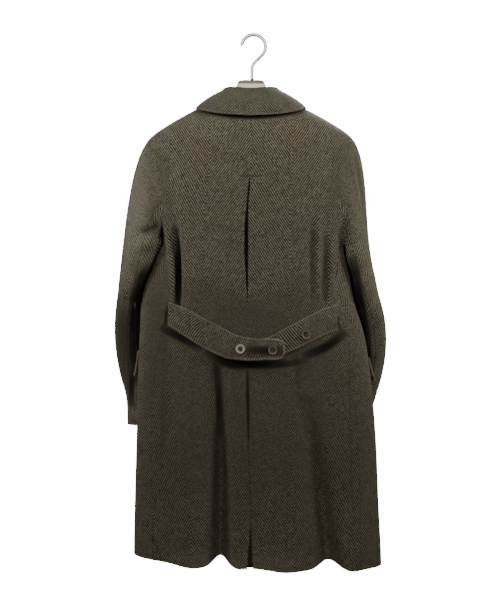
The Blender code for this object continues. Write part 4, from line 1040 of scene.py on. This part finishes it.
def sleeve_grid(name):
    """Points and normals of a whole sleeve: rings from the armhole to the cuff.

    A ring hangs as an oval turned by its yaw; above the first oval the rings follow a curve that leaves the
    armhole in the cloth's own direction.
    """
    side = SIDES[name]
    rows = SLEEVE_OVALS[name]
    turns, heights = armhole_ring(side)
    ring = body(turns, heights)
    keep = np.concatenate([[True], np.linalg.norm(np.diff(ring, axis=0), axis=-1) > RING_LEAST])
    turns, heights, ring = turns[keep], heights[keep], ring[keep]
    ring_normals = body_normal(turns, heights)
    loop = np.concatenate([ring[-1:], ring, ring[:1]])
    sideways = unit(np.cross(ring_normals, loop[2:] - loop[:-2]))
    hollow = body(0.5 * math.pi * side, 0.5 * (SHOULDER_Z + UNDERARM_Z))
    sideways = sideways * np.sign(np.sum(sideways * (hollow - ring), axis=-1, keepdims=True))
    steps = np.linalg.norm(np.diff(np.concatenate([ring, ring[:1]]), axis=0), axis=-1)
    angle = 2 * np.pi * np.concatenate([[0], np.cumsum(steps)[:-1]]) / steps.sum()

    def ovals(z):
        """Horizontal sections of the hanging sleeve, outermost point first, then the back."""
        z = np.asarray(z, dtype=float)[:, None]
        half = column(rows, OVAL_COLUMNS, "thickness", z) / 2
        deep = column(rows, OVAL_COLUMNS, "depth", z) / 2
        yaw = np.radians(column(rows, OVAL_COLUMNS, "yaw", z))
        reach = np.hypot(half * np.cos(yaw), deep * np.sin(yaw))
        centre_x = column(rows, OVAL_COLUMNS, "outer_x", z) - reach
        u, v = half * np.cos(angle), deep * np.sin(angle)
        x = centre_x + u * np.cos(yaw) + v * np.sin(yaw)
        y = column(rows, OVAL_COLUMNS, "middle_y", z) - u * np.sin(yaw) + v * np.cos(yaw)
        return clear_of_body(np.stack([COAT_X + side * x, y, z + 0 * x], axis=-1), SLEEVE_CLEARANCE)

    first, last = rows[0][0], rows[-1][0]
    heights = np.concatenate([np.linspace(first, last, SLEEVE_ROWS), last + np.array(EDGE_STEPS)])
    hanging = ovals(np.sort(heights)[::-1])
    span = np.linalg.norm(hanging[0] - ring, axis=-1, keepdims=True)
    leave = sideways * np.maximum(span * HEAD_SHARE, HEAD_RISE)
    arrive = unit(ovals([first - HEAD_ARRIVE])[0] - hanging[0]) * span
    t = np.concatenate([HEAD_EDGE, np.linspace(0, 1, HEAD_STEPS)[1:-1]])[:, None, None]
    head = (2 * t**3 - 3 * t**2 + 1) * ring + (t**3 - 2 * t**2 + t) * leave
    head = head + (3 * t**2 - 2 * t**3) * hanging[0] + (t**3 - t**2) * arrive
    points = np.concatenate([head, hanging])
    normals = grid_normals(points, ring=True)
    centre = points.mean(axis=1, keepdims=True)
    if np.sum((normals * (points - centre))[len(head):]) < 0:
        normals = -normals
    normals[0] = ring_normals
    return points, normals, angle


def build_sleeve(name, tweed):
    """Top sleeve, outside the arm, and under sleeve, beside the body."""
    points, normals, angle = sleeve_grid(name)
    count = len(angle)
    back_seam = int(np.argmin(np.abs(angle - SLEEVE_BACK_SEAM)))
    front_seam = int(np.argmin(np.abs(angle - SLEEVE_FRONT_SEAM)))
    chosen = {
        "top": [index % count for index in range(front_seam, count + back_seam + 1)],
        "under": list(range(back_seam, front_seam + 1)),
    }
    closed = np.concatenate([points, points[:, :1]], axis=1)
    facing = np.concatenate([normals, normals[:, :1]], axis=1)
    # painted shade in the gap to the body, and painted light on the sleeve's outside
    lost = shaded(closed, facing, name)
    wear_and_painted_light = shaded(closed, facing, name, PAINTED_LIGHTS)
    level = int(np.argmin(np.abs(closed[:, 0, 2] - SLEEVE_OVALS[name][0][0])))
    smooth = closed
    closed, facing = creased(closed, facing, name)
    for part, columns in chosen.items():
        uv = cloth_coordinates(smooth[:, columns], shift=SLEEVE_WEAVE_SHIFT, level=level)
        sheet(f"sleeve_{name}_{part}", closed[:, columns], facing[:, columns], CLOTH, uv, ALL_EDGES, [tweed],
              lost=lost[:, columns], wear_and_painted_light=wear_and_painted_light[:, columns])


def strap_grid(rows):
    """Points of a belt strap standing off the back, and their normals."""
    ends = sorted(row[0] for row in rows)
    share = edged(STRAP_POINTS, ends[-1] - ends[0])
    x = ends[0] + (ends[-1] - ends[0]) * share
    top = column(rows, BELT_COLUMNS, "top", x)
    bottom = column(rows, BELT_COLUMNS, "bottom", x)
    off = column(rows, BELT_COLUMNS, "off", x)
    z = top[:, None] + (bottom - top)[:, None] * edged(*GRIDS["strap_width"])
    across = x[:, None] + 0 * z
    turns = turn_at(across, z)
    points = body(turns, z) + body_normal(turns, z) * off[:, None, None]
    normals = grid_normals(points)
    return points, normals * np.sign(normals[..., 1:2])


def build_strap(name, rows, end_first, tweed, thread):
    """Strap of the half belt, stitched along its edges, worn and painted paler as a highlight along its edges
    and most at its free end: its points and normals.
    """
    points, normals = strap_grid(rows)
    tip = lengths(points, 0) if end_first else to_end(points, 0)
    distance = np.minimum(np.minimum(lengths(points, 1), to_end(points, 1)), tip)
    uv = np.stack([lengths(points, 0), lengths(points, 1)], axis=-1)
    # edge wear and a painted highlight, strongest at the free end
    wear_and_highlight = STRAP_WEAR_AND_HIGHLIGHT + TIP_WEAR_AND_HIGHLIGHT * smooth_step((TIP_REACH - tip) / TIP_EASE)
    # a darker patch painted on the left strap's free end from the shade table
    sheet(f"belt_{name}", points, normals, DOUBLE_CLOTH, uv, ALL_EDGES, [tweed],
          press=stitched(distance),
          lost=shaded(points, normals, f"belt_{name}"), wear_and_painted_light=wear_and_highlight * rubbed_edge(distance))
    for edge, last in (("top", False), ("bottom", True)):
        stitch_edge(f"belt_{name}_{edge}_stitches", points, normals, DOUBLE_CLOTH, thread, (3, 3), last)
    return points, normals


def build_flap(row, tweed, lining, thread):
    """Pocket flap on the side of a front, its rear lower corner standing away, with a lining behind."""
    name, rear, front, top, bottom, flare = row
    side = SIDES[name]
    turns = np.radians(rear + (front - rear) * edged(*GRIDS["flap"]))[None, :]
    down = edged(*GRIDS["flap_height"])[:, None]
    heights = top + (bottom - top) * down + 0 * turns
    turns = turns + 0 * heights
    normals = body_normal(turns * side, heights)
    towards_rear = ((turns - np.radians(front)) / np.radians(rear - front)) ** 2
    off = CLOTH / 2 + DOUBLE_CLOTH / 2 + 2 * SEAM_GAP + FLAP_FLARE * flare * down**2 * towards_rear
    points = body(turns * side, heights) + normals * off[..., None]
    distance = np.minimum(np.minimum(lengths(points, 1), to_end(points, 1)), to_end(points, 0))
    sheet(f"pocket_flap_{name}", points, normals, DOUBLE_CLOTH, cloth_coordinates(points), ALL_EDGES,
          [tweed, lining], press=stitched(distance),
          wear_and_painted_light=FLAP_WEAR * rubbed_edge(distance))
    turned = [grid.transpose(1, 0, 2) for grid in (points, normals)]
    stitch_edge(f"pocket_flap_{name}_stitches", *turned, DOUBLE_CLOTH, thread, (4, 4))


# Buttons, in shares of the radius unless they are heights in metres
BUTTON_THICK = 0.0038
BUTTON_SIDES = 56
# Columns: reach, height, from the foot over the rim
BUTTON_PROFILE = (
    (0.70, 0.0), (0.90, 0.0003), (0.97, 0.0010), (1.00, 0.0022), (0.985, 0.0030), (0.95, 0.0035),
    (0.90, 0.0038), (0.84, 0.0038), (0.78, 0.0036), (0.72, 0.0032), (0.66, 0.0028), (0.60, 0.0026),
)
DISH = 0.56               # the dished middle starts here
DISH_STEPS = 34
DISH_HEIGHT = 0.0025
DISH_DEPTH = 0.0004
HOLE_PLACE = 0.25         # distance of a hole from the middle
HOLE_RADIUS = 0.125
HOLE_EASE = 0.04
HOLE_DEPTH = 0.0016
STRAND_RADIUS = 0.00048   # sewing thread, in metres
STRAND_SHIFT = 0.00042    # two strands lie this far to either side
STRAND_LENGTH = 1.15      # they reach this many times the way to the hole
STRAND_FOOT = 0.0017
STRAND_ARCH = 0.0012
STRAND_SIDES = 8


def build_button(name, radius, axis, horn, thread):
    """Horn button: a lathe profile with a raised rim, four holes and the thread that sews it on.

    The height over the disc is the profile's, less a steep-sided well at each hole.
    """
    low, high = (np.array(corner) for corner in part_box(name))
    axis = unit(np.asarray(axis, dtype=float))
    first = unit(np.cross(axis, np.array([0.0, 0.0, 1.0])))
    second = np.cross(axis, first)
    foot = (low + high) / 2 - axis * BUTTON_THICK / 2
    reach, level = np.array(BUTTON_PROFILE).T
    inner = np.linspace(DISH, 0.0, DISH_STEPS)
    share = np.concatenate([reach, inner])
    height = np.concatenate([level, DISH_HEIGHT - DISH_DEPTH * (1 - (inner / DISH) ** 2)])
    angle = np.linspace(0, 2 * np.pi, BUTTON_SIDES, endpoint=False)
    flat = share[:, None, None] * np.stack([np.cos(angle), np.sin(angle)], axis=-1)
    rise = height[:, None] + 0 * angle
    for a in np.radians([45, 135, 225, 315]):
        away = np.linalg.norm(flat - HOLE_PLACE * np.array([math.cos(a), math.sin(a)]), axis=-1)
        well = HOLE_DEPTH * smooth_step((HOLE_RADIUS - away) / HOLE_EASE)
        rise = rise - well * (np.arange(len(share)) >= len(reach))[:, None]
    spot = flat * radius
    vertices = foot + spot[..., :1] * first + spot[..., 1:] * second + rise[..., None] * axis
    corners = vertices.reshape(-1, 3)
    faces = ring_faces(np.arange(len(corners)).reshape(-1, BUTTON_SIDES))
    start, across, along = corners[faces[0, :3]]
    if np.dot(np.cross(across - start, along - start), start - foot) < 0:
        faces = faces[:, ::-1]
    made = add_mesh(f"{name}_horn", corners, faces, flat.reshape(-1, 2), [horn])
    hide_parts(name)
    hole = HOLE_PLACE * math.sqrt(0.5) * radius
    t = np.linspace(0, 1, 9)
    x = (2 * t - 1) * hole * STRAND_LENGTH
    arch = STRAND_FOOT + STRAND_ARCH * np.sin(np.pi * t) ** 0.5
    for number, y in enumerate((-hole, hole), start=1):
        for strand, shift in (("a", -STRAND_SHIFT), ("b", STRAND_SHIFT)):
            path = foot + x[:, None] * first + (y + shift) * second + arch[:, None] * axis
            thread_tube(f"{name}_thread_{number}_{strand}", path, thread)


def thread_tube(name, path, material):
    """Round thread along a path."""
    ahead = unit(np.gradient(path, axis=0))
    side = unit(np.cross(ahead, ahead[::-1] + np.array([0.31, 0.47, 0.83])))
    up = np.cross(ahead, side)
    angle = np.linspace(0, 2 * np.pi, STRAND_SIDES, endpoint=False)[:, None]
    ring = side[:, None] * np.cos(angle) + up[:, None] * np.sin(angle)
    add_rings(name, path[:, None] + ring * STRAND_RADIUS, material)


def rounded(wave, power):
    """A sine or cosine drawn towards a square."""
    return np.sign(wave) * np.abs(wave) ** power


def ring_solid(name, node, rings, material):
    """Closed solid through rings of points, its ends drawn together."""
    ends = rings.mean(axis=1, keepdims=True)
    rings = np.concatenate([ends[:1] + 0 * rings[:1], rings, ends[-1:] + 0 * rings[-1:]])
    count, around = rings.shape[:2]
    faces = ring_faces(np.arange(count * around).reshape(count, around))
    vertices = rings.reshape(-1, 3)
    middle = count // 2
    cell = np.cross(rings[middle, 1] - rings[middle, 0], rings[middle + 1, 0] - rings[middle, 0])
    if np.dot(cell, rings[middle, 0] - rings[middle].mean(axis=0)) < 0:
        faces = faces[:, ::-1]
    made = add_mesh(name, vertices, faces, np.zeros((len(vertices), 2)), [material])
    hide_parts(node)


def build_bar(material):
    """Hanger bar: a neck block running out into two sloping arms under the shoulders."""
    rows = list(BAR_MIDDLE)
    for x in list(BAR_OUTER_X) + [BAR_END_X]:
        share = (x - BAR_OUTER_X[0]) / (BAR_END_X - BAR_OUTER_X[0])
        height = BAR_MIDDLE[-1][2] + (BAR_END_HEIGHT - BAR_MIDDLE[-1][2]) * share
        rows.append((x, float(shoulder_height(x)) - BAR_SEAT, height))
    x = refined([row[0] for row in rows], BAR_STEP)
    top = column(rows, BAR_COLUMNS, "top", x)
    height = column(rows, BAR_COLUMNS, "height", x)
    x = np.concatenate([-x[:0:-1], x])
    top = np.concatenate([top[:0:-1], top])[:, None]
    height = np.concatenate([height[:0:-1], height])[:, None]
    angle = np.linspace(0, 2 * np.pi, 40, endpoint=False)
    z = top - height / 2 + height / 2 * rounded(np.sin(angle), BAR_ROUND)
    y = BAR_DEPTH_Y * rounded(np.cos(angle), BAR_ROUND)
    rings = np.stack([x[:, None] + COAT_X + 0 * z, y + 0 * z, z], axis=-1)
    ring_solid("hanger_bar_shaped", "hanger_bar", rings, material)


def build_hook(material):
    """Hook of flat wire: a ring open on one side, an easy bend and an upright stem."""
    ring_z = -(HOOK_RADIUS - HOOK_WIRE / 2)
    angle = np.radians(np.linspace(HOOK_TURN_START, HOOK_TURN_END, 72))
    ring = np.stack([-HOOK_RADIUS * np.cos(angle), ring_z + HOOK_RADIUS * np.sin(angle)], axis=-1)
    end_turn = math.radians(HOOK_TURN_END)
    stem_x, stem_end = COAT_X - STEM_SHIFT, BAR_MIDDLE[0][1] + SEAM_GAP
    start, end = ring[-1], np.array([stem_x, STEM_TOP])
    first = start - np.array([math.sin(end_turn), math.cos(end_turn)]) * BEND_START
    second = end + np.array([0.0, BEND_END])
    t = np.linspace(0, 1, 30)[1:, None]
    bend = (1 - t)**3 * start + 3 * (1 - t)**2 * t * first + 3 * (1 - t) * t**2 * second + t**3 * end
    stem = np.stack([np.full(8, stem_x), np.linspace(STEM_TOP, stem_end, 9)[1:]], axis=-1)
    path = np.concatenate([ring, bend, stem])
    ahead = unit(np.gradient(path, axis=0))
    run = lengths(path[:, None], 0)
    width = (1.0 - HOOK_TAPER * run / run[-1]) * HOOK_WIRE / 2
    width = width * np.sqrt(np.clip(run / HOOK_TIP, 0.05, 1.0))
    around = np.linspace(0, 2 * np.pi, 24, endpoint=False)
    flat = rounded(np.cos(around), HOOK_ROUND) * width
    deep = rounded(np.sin(around), HOOK_ROUND) * HOOK_WIRE_Y / 2 + 0 * flat
    rings = np.stack([path[:, :1] - ahead[:, 1:] * flat, deep, path[:, 1:] + ahead[:, :1] * flat], axis=-1)
    ring_solid("hanger_hook_wire", "hanger_hook", rings, material)


class Shade:
    """A socket of a material's nodes that can be added, multiplied and compared like a number."""

    def __init__(self, tree, socket):
        self.tree = tree
        self.socket = socket

    def math(self, operation, *others):
        """One math node fed by this value and others."""
        made = self.tree.nodes.new("ShaderNodeMath")
        made.operation = operation
        for slot, value in zip(made.inputs, (self, *others)):
            feed(self.tree, slot, value)
        return Shade(self.tree, made.outputs[0])

    def __add__(self, other):
        return self.math("ADD", other)

    def __radd__(self, other):
        return self.math("ADD", other)

    def __sub__(self, other):
        return self.math("SUBTRACT", other)

    def __rsub__(self, other):
        return (self * -1.0) + other

    def __mul__(self, other):
        return self.math("MULTIPLY", other)

    def __rmul__(self, other):
        return self.math("MULTIPLY", other)

    def __truediv__(self, other):
        return self.math("DIVIDE", other)

    def wave(self):
        """0 to 1 to 0 once in each unit."""
        return (self * (2 * math.pi)).math("SINE") * 0.5 + 0.5

    def between(self, low, high):
        """0 below low, 1 above high, eased between them."""
        made = self.tree.nodes.new("ShaderNodeMapRange")
        made.interpolation_type = "SMOOTHSTEP"
        for slot, value in zip(("Value", "From Min", "From Max"), (self, low, high)):
            feed(self.tree, made.inputs[slot], value)
        return Shade(self.tree, made.outputs["Result"])


def feed(tree, slot, value):
    """Link a value to a socket, or set it there."""
    if isinstance(value, Shade):
        tree.links.new(value.socket, slot)
    else:
        slot.default_value = value


def feed_all(tree, made, inputs):
    """Inputs of a node by name, with underscores for blanks."""
    for name, value in inputs.items():
        feed(tree, made.inputs[name.replace("_", " ")], value)


def node(tree, kind, output, settings=(), **inputs):
    """Any other node: its settings, its inputs by name and one of its outputs."""
    made = tree.nodes.new(kind)
    for name, value in dict(settings).items():
        setattr(made, name, value)
    feed_all(tree, made, inputs)
    return Shade(tree, made.outputs[output])


def noise(tree, where, scale, detail=2.0, roughness=0.5):
    """Even noise from 0 to 1."""
    return node(tree, "ShaderNodeTexNoise", "Fac", Vector=where, Scale=scale, Detail=detail,
                Roughness=roughness)


def mixed(tree, share, low, high):
    """Colour between two colours or two colour sockets."""
    made = tree.nodes.new("ShaderNodeMix")
    made.data_type = "RGBA"
    feed(tree, made.inputs[0], share)
    for slot, value in ((made.inputs[6], low), (made.inputs[7], high)):
        feed(tree, slot, value if isinstance(value, Shade) else (*value, 1.0))
    return Shade(tree, made.outputs[2])


def new_material(name):
    """Empty principled material: its tree and its shader."""
    material = bpy.data.materials.new(name)
    material.use_nodes = True
    tree = material.node_tree
    return material, tree, tree.nodes["Principled BSDF"]


def parts(tree, vector):
    """The three parts of a vector."""
    made = tree.nodes.new("ShaderNodeSeparateXYZ")
    feed(tree, made.inputs[0], vector)
    return [Shade(tree, socket) for socket in made.outputs]


def layer(tree, name):
    """The two coordinates of a layer of the mesh."""
    return parts(tree, node(tree, "ShaderNodeUVMap", "UV", {"uv_map": name}))[:2]


def in_object(tree):
    """Place in the object, in metres."""
    return node(tree, "ShaderNodeTexCoord", "Object")


def finish(tree, shader, height, distance, strength, **inputs):
    """Inputs of a shader by name, and a bump from a height of 0 to 1."""
    feed_all(tree, shader, inputs)
    bump = node(tree, "ShaderNodeBump", "Normal", Height=height, Distance=distance, Strength=strength)
    feed(tree, shader.inputs["Normal"], bump)


STRIPE = 0.088            # width of one stripe of the herringbone
TWILL_RISE = 0.0078       # height of one twill line along the cloth
TWILL_RUN = 0.0052        # width of one twill line across the cloth
YARN = 0.0011             # thickness of a yarn
WOBBLE = 0.0016           # the weave wanders this much
SLIP = 0.4                # and its lines are broken by this share of their spacing
TWEED_DARK = (0.0070, 0.0068, 0.0043)
TWEED_LIGHT = (0.136, 0.129, 0.092)
TWEED_WARM = (0.135, 0.120, 0.083)
# paler colour of worn edges and of painted light
TWEED_WEAR_AND_PAINTED_LIGHT = (0.190, 0.176, 0.134)
# colour of painted shade
DEEP_SHADE = (0.0012, 0.0010, 0.0007)
SHEEN = (0.80, 0.76, 0.62)
# Darker and paler colour of each of the other materials
LINING = ((0.260, 0.125, 0.042), (0.460, 0.260, 0.105))
THREAD = ((0.020, 0.017, 0.011), (0.060, 0.050, 0.034))
BUTTON_THREAD = ((0.022, 0.017, 0.010), (0.075, 0.058, 0.036))
HOOK_METAL = ((0.070, 0.062, 0.055), (0.20, 0.178, 0.158))
BAR_FACE = ((0.46, 0.395, 0.325), (0.56, 0.49, 0.41))
# Painted reflection: darker, browner colours along the bar's upper edge
BAR_REFLECTION_COLOURS = ((0.085, 0.058, 0.036), (0.150, 0.108, 0.070))
REFLECTION_DEPTHS = (0.0100, 0.0080)   # the bar turns brown between these depths below its top
# Colours of horn: dark, pale, rim and centre, then how soft its streaks are
HORN = ((0.010, 0.006, 0.004), (0.046, 0.027, 0.014), (0.120, 0.080, 0.044), (0.016, 0.010, 0.006), 0.24)
PALE_HORN = ((0.100, 0.082, 0.058), (0.230, 0.198, 0.150), (0.335, 0.292, 0.222), (0.018, 0.014, 0.009), 0.20)


def tweed_material():
    """Herringbone tweed: twill lines whose slope turns at each stripe, of light and dark hairy yarns.

    A line is a wave of height over rise less width over run. Flecks of yarn break it up, slow noise turns
    grey yarn browner, and a second set of coordinates holds painted shade, which darkens and calms deep folds
    and cloth under edges, and edge wear with painted light, which turns the cloth paler.
    """
    material, tree, shader = new_material("tweed")
    across, along = layer(tree, "cloth")
    # painted shade, and edge wear with painted light
    lost, wear_and_painted_light = layer(tree, "look")
    solid = in_object(tree)
    across = across + (noise(tree, solid, 42.0, 3.0) - 0.5) * WOBBLE
    along = along + (noise(tree, solid, 31.0, 3.0) - 0.5) * WOBBLE
    fold = across.math("PINGPONG", STRIPE)
    slip = (noise(tree, solid, 360.0, 1.0) - 0.5) * SLIP
    line = (along / TWILL_RISE - fold / TWILL_RUN + slip).wave()
    yarn = (along / YARN + fold / (YARN * 2.4)).wave()
    cross_yarn = (across / YARN).wave()
    hair = noise(tree, solid, 900.0, 3.0, 0.7)
    fleck = noise(tree, solid, 270.0, 1.0, 0.6).between(0.30, 0.70)
    patch = noise(tree, solid, 26.0, 3.0, 0.6)
    light = line * 0.62 + fleck * 0.30 + yarn * 0.06
    light = light.between(0.19, 0.89)
    # painted shade also calms the weave's contrast
    light = light + (0.42 - light) * (lost.between(0.0, 0.5) * 0.7)
    pale = mixed(tree, patch.between(0.36, 0.66), TWEED_LIGHT, TWEED_WARM)
    colour = mixed(tree, light, TWEED_DARK, pale)
    # fibre fuzz, edge wear and painted light turn the cloth paler
    colour = mixed(tree, hair.between(0.62, 0.86) * 0.12 + wear_and_painted_light * 0.5, colour, TWEED_WEAR_AND_PAINTED_LIGHT)
    # painted shade darkens the cloth
    colour = mixed(tree, lost, colour, DEEP_SHADE)
    height = line * 0.4 + yarn * 0.14 + cross_yarn * 0.10 + fleck * 0.16 + hair * 0.20
    finish(tree, shader, height, 0.0009, 0.7, Base_Color=colour, Roughness=0.86 + (hair - 0.5) * 0.2,
           Specular_IOR_Level=0.12, Sheen_Weight=0.06, Sheen_Roughness=0.5, Sheen_Tint=(*SHEEN, 1.0))
    return material


def lining_material():
    """Brown twilled lining of the flaps, with a slight gloss."""
    material, tree, shader = new_material("flap_lining")
    across, along = layer(tree, "cloth")
    line = ((across + along) / YARN).wave()
    patch = noise(tree, in_object(tree), 60.0, 3.0)
    colour = mixed(tree, line * 0.5 + patch * 0.4, *LINING)
    finish(tree, shader, line, 0.0002, 0.5, Base_Color=colour, Roughness=0.48 + patch * 0.16)
    return material


def horn_material(name, dark, pale, rim, centre, streak):
    """Rubbed horn with long streaks and fine scratches, paler on its rim and darker where it is sewn on."""
    material, tree, shader = new_material(name)
    solid = in_object(tree)
    first, second = layer(tree, "cloth")
    reach = (first * first + second * second).math("SQRT")
    stretched = node(tree, "ShaderNodeMapping", "Vector", Vector=solid, Scale=(90.0, 90.0, 320.0))
    grain = noise(tree, stretched, 1.0, 4.0, 0.6)
    scratch = noise(tree, solid, 1600.0, 2.0, 0.6)
    colour = mixed(tree, grain.between(0.5 - streak, 0.5 + streak), dark, pale)
    ring = reach.between(0.54, 0.68) * (1.0 - reach.between(0.92, 1.0))
    colour = mixed(tree, ring * (0.55 + grain * 0.5), colour, rim)
    colour = mixed(tree, 1.0 - reach.between(0.30, 0.52), colour, centre)
    finish(tree, shader, scratch, 0.0001, 0.25, Base_Color=colour, Roughness=0.38 + scratch * 0.20,
           Specular_IOR_Level=0.35)
    return material


def thread_material(name, dark, pale):
    """Twisted sewing thread."""
    material, tree, shader = new_material(name)
    fibre = noise(tree, in_object(tree), 2400.0, 2.0, 0.6)
    finish(tree, shader, fibre, 0.0001, 0.4, Base_Color=mixed(tree, fibre, dark, pale),
           Roughness=0.55 + fibre * 0.2)
    return material


def hook_material():
    """Bright plated wire with faint drawing lines and a warm cast."""
    material, tree, shader = new_material("plated_hook")
    solid = in_object(tree)
    fine = noise(tree, solid, 700.0, 3.0, 0.6)
    smear = noise(tree, solid, 60.0, 3.0, 0.5)
    colour = mixed(tree, smear, *HOOK_METAL)
    finish(tree, shader, fine, 0.0001, 0.12, Base_Color=colour, Metallic=1.0,
           Roughness=0.16 + smear * 0.16 + fine * 0.06)
    return material


def bar_material():
    """Satin greige bar, with a painted reflection that makes it browner along its upper edge."""
    material, tree, shader = new_material("hanger_satin")
    solid = in_object(tree)
    height = parts(tree, solid)[2]
    stretched = node(tree, "ShaderNodeMapping", "Vector", Vector=solid, Scale=(30.0, 300.0, 300.0))
    grain = noise(tree, stretched, 1.0, 4.0, 0.6)
    # band of painted reflection along the top edge
    low, high = (BAR_MIDDLE[0][1] - depth for depth in REFLECTION_DEPTHS)
    edge = (height + (grain - 0.5) * 0.0012).between(low, high)
    face = mixed(tree, grain, *BAR_FACE)
    brown = mixed(tree, grain, *BAR_REFLECTION_COLOURS)
    finish(tree, shader, grain, 0.0002, 0.25, Base_Color=mixed(tree, edge, face, brown),
           Roughness=0.42 + grain * 0.18)
    return material


CAMERA_X = 0.0079
CAMERA_Y = 2.4
CAMERA_Z = -0.5815
SENSOR = 36.0
PICTURE_ROWS = 602
PIXEL = 0.0022            # size of a pixel at the middle of the coat
FLOOR_Z = -1.42
STAGE_REACH = 9.0         # floor to either side and towards the camera
STAGE_BACK = -3.2
STAGE_TOP = 5.0
SWEEP = 1.4               # radius of the bend between floor and backdrop
KEY_COLOUR = (1.0, 0.975, 0.925)
SIDE_COLOUR = (1.0, 0.98, 0.96)
# Columns: name, place, aim, width and height, power, spread in degrees, colour
LIGHTS = (
    ("key_light", (0.10, 1.60, 0.35), (0.0, 0.10, -0.05), (1.6, 0.4), 6.3, 62, KEY_COLOUR),
    ("camera_fill", (0.5, 3.4, 0.3), (0.0, 0.0, -0.6), (2.0, 2.0), 0.6, 180, (1.0, 0.96, 0.84)),
    ("floor_bounce", (0.0, 1.0, -1.75), (0.0, 0.10, -1.22), (1.8, 0.5), 1.9, 56, (1.0, 0.97, 0.88)),
    ("sleeve_key", (2.0, 0.55, 0.5), (0.30, 0.0, -0.40), (0.9, 0.9), 3.0, 34, KEY_COLOUR),
    ("other_sleeve_key", (-2.0, 0.55, 0.5), (-0.29, 0.0, -0.40), (0.9, 0.9), 3.0, 34, KEY_COLOUR),
    ("front_key", (-0.6, -1.9, 1.2), (0.0, -0.05, -0.5), (1.2, 1.2), 42.0, 120, (1.0, 0.97, 0.93)),
    ("side_fill", (2.4, -0.9, 0.4), (0.0, 0.0, -0.6), (1.6, 1.6), 9.0, 180, SIDE_COLOUR),
    ("other_side_fill", (-2.4, -0.9, 0.4), (0.0, 0.0, -0.6), (1.6, 1.6), 9.0, 180, SIDE_COLOUR),
)


def build_stage():
    """Pale floor that sweeps up into a backdrop behind the coat, the lights and the camera."""
    angle = np.linspace(0, np.pi / 2, 16)
    rise = FLOOR_Z + SWEEP - SWEEP * np.cos(angle)
    curve = np.stack([STAGE_BACK + SWEEP - SWEEP * np.sin(angle), rise], axis=-1)
    path = np.concatenate([[[STAGE_REACH, FLOOR_Z]], curve, [[STAGE_BACK, STAGE_TOP]]])
    x = np.array([-STAGE_REACH, STAGE_REACH])
    grid = np.stack([x[None, :] + 0 * path[:, :1], path[:, :1] + 0 * x, path[:, 1:] + 0 * x], axis=-1)
    index = np.arange(len(path) * 2).reshape(-1, 2)
    faces = np.stack([index[:-1, 0], index[:-1, 1], index[1:, 1], index[1:, 0]], -1)
    mesh = bpy.data.meshes.new("studio_sweep")
    mesh.from_pydata(grid.reshape(-1, 3).tolist(), [], faces.tolist())
    mesh.shade_smooth()
    floor = bpy.data.objects.new("studio_sweep", mesh)
    bpy.context.scene.collection.objects.link(floor)
    material, tree, shader = new_material("studio_pale")
    feed_all(tree, shader, {"Base_Color": (0.9, 0.9, 0.9, 1.0), "Roughness": 0.9,
                            "Emission_Color": (1.0, 1.0, 1.0, 1.0), "Emission_Strength": 16.0})
    material.cycles.emission_sampling = "NONE"
    mesh.materials.append(material)
    floor.visible_diffuse = False
    floor.visible_glossy = False
    floor.visible_shadow = False

    world = bpy.data.worlds.new("studio_world")
    bpy.context.scene.world = world
    world.use_nodes = True
    feed_all(world.node_tree, world.node_tree.nodes["Background"],
             {"Color": (1.0, 0.97, 0.88, 1.0), "Strength": 0.035})
    for row in LIGHTS:
        add_light(*row)

    camera = bpy.data.cameras.new("camera")
    camera.sensor_fit = "AUTO"
    camera.sensor_width = SENSOR
    camera.lens = SENSOR * CAMERA_Y / (PICTURE_ROWS * PIXEL)
    eye = bpy.data.objects.new("camera", camera)
    eye.location = (CAMERA_X, CAMERA_Y, CAMERA_Z)
    eye.rotation_euler = (math.pi / 2, 0.0, math.pi)
    bpy.context.scene.collection.objects.link(eye)
    bpy.context.scene.camera = eye


def add_light(name, place, aim, size, power, spread, colour):
    """Soft oblong light turned towards a point, its beam spread over a number of degrees."""
    light = bpy.data.lights.new(name, "AREA")
    light.shape = "RECTANGLE"
    light.size, light.size_y = size
    light.energy = power
    light.spread = math.radians(spread)
    light.color = colour
    made = bpy.data.objects.new(name, light)
    made.location = place
    heading = unit(np.array(aim) - np.array(place))
    across = math.hypot(heading[0], heading[1])
    made.rotation_euler = (math.atan2(across, -heading[2]), 0.0, math.atan2(-heading[0], heading[1]))
    made.visible_camera = False
    bpy.context.scene.collection.objects.link(made)


def nearest_normal(points, normals, place):
    """Normal of a grid where it passes closest to a place."""
    distance = np.linalg.norm(points - place, axis=-1)
    return normals[np.unravel_index(np.argmin(distance), distance.shape)]


def build_coat():
    """Every piece of the coat and its hanger."""
    tweed = tweed_material()
    lining = lining_material()
    thread = thread_material("tweed_thread", *THREAD)
    button_thread = thread_material("button_thread", *BUTTON_THREAD)
    horn = horn_material("horn_brown", *HORN)
    pale_horn = horn_material("horn_pale", *PALE_HORN)

    for side in (LEFT, RIGHT):
        build_back(side, tweed)
        build_lapel(side, tweed, thread)
    fronts = {side: build_front(side, tweed) for side in (LEFT, RIGHT)}
    for row in BEHIND:
        build_behind(row, tweed)
    build_collar(tweed, thread)
    for name in SIDES:
        build_sleeve(name, tweed)
    straps = {
        "left": build_strap("left", BELT_LEFT, True, tweed, thread),
        "right": build_strap("right", BELT_RIGHT, False, tweed, thread),
    }
    for row in FLAPS:
        build_flap(row, tweed, lining, thread)
    buttons = []
    for number, strap in enumerate(BELT_BUTTONS, start=1):
        made_of = pale_horn if number == 1 else horn
        buttons.append((f"belt_button_{number}", BUTTON_RADIUS, straps[strap], made_of))
    for number in range(1, 7):
        buttons.append((f"front_button_{number}", FRONT_BUTTON_RADIUS, fronts[LEFT], horn))
    for name, radius, (points, normals), made_of in buttons:
        centre = np.mean([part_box(name)[0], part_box(name)[1]], axis=0)
        build_button(name, radius, nearest_normal(points, normals, centre), made_of, button_thread)
    build_bar(bar_material())
    build_hook(hook_material())


build_stage()
build_coat()
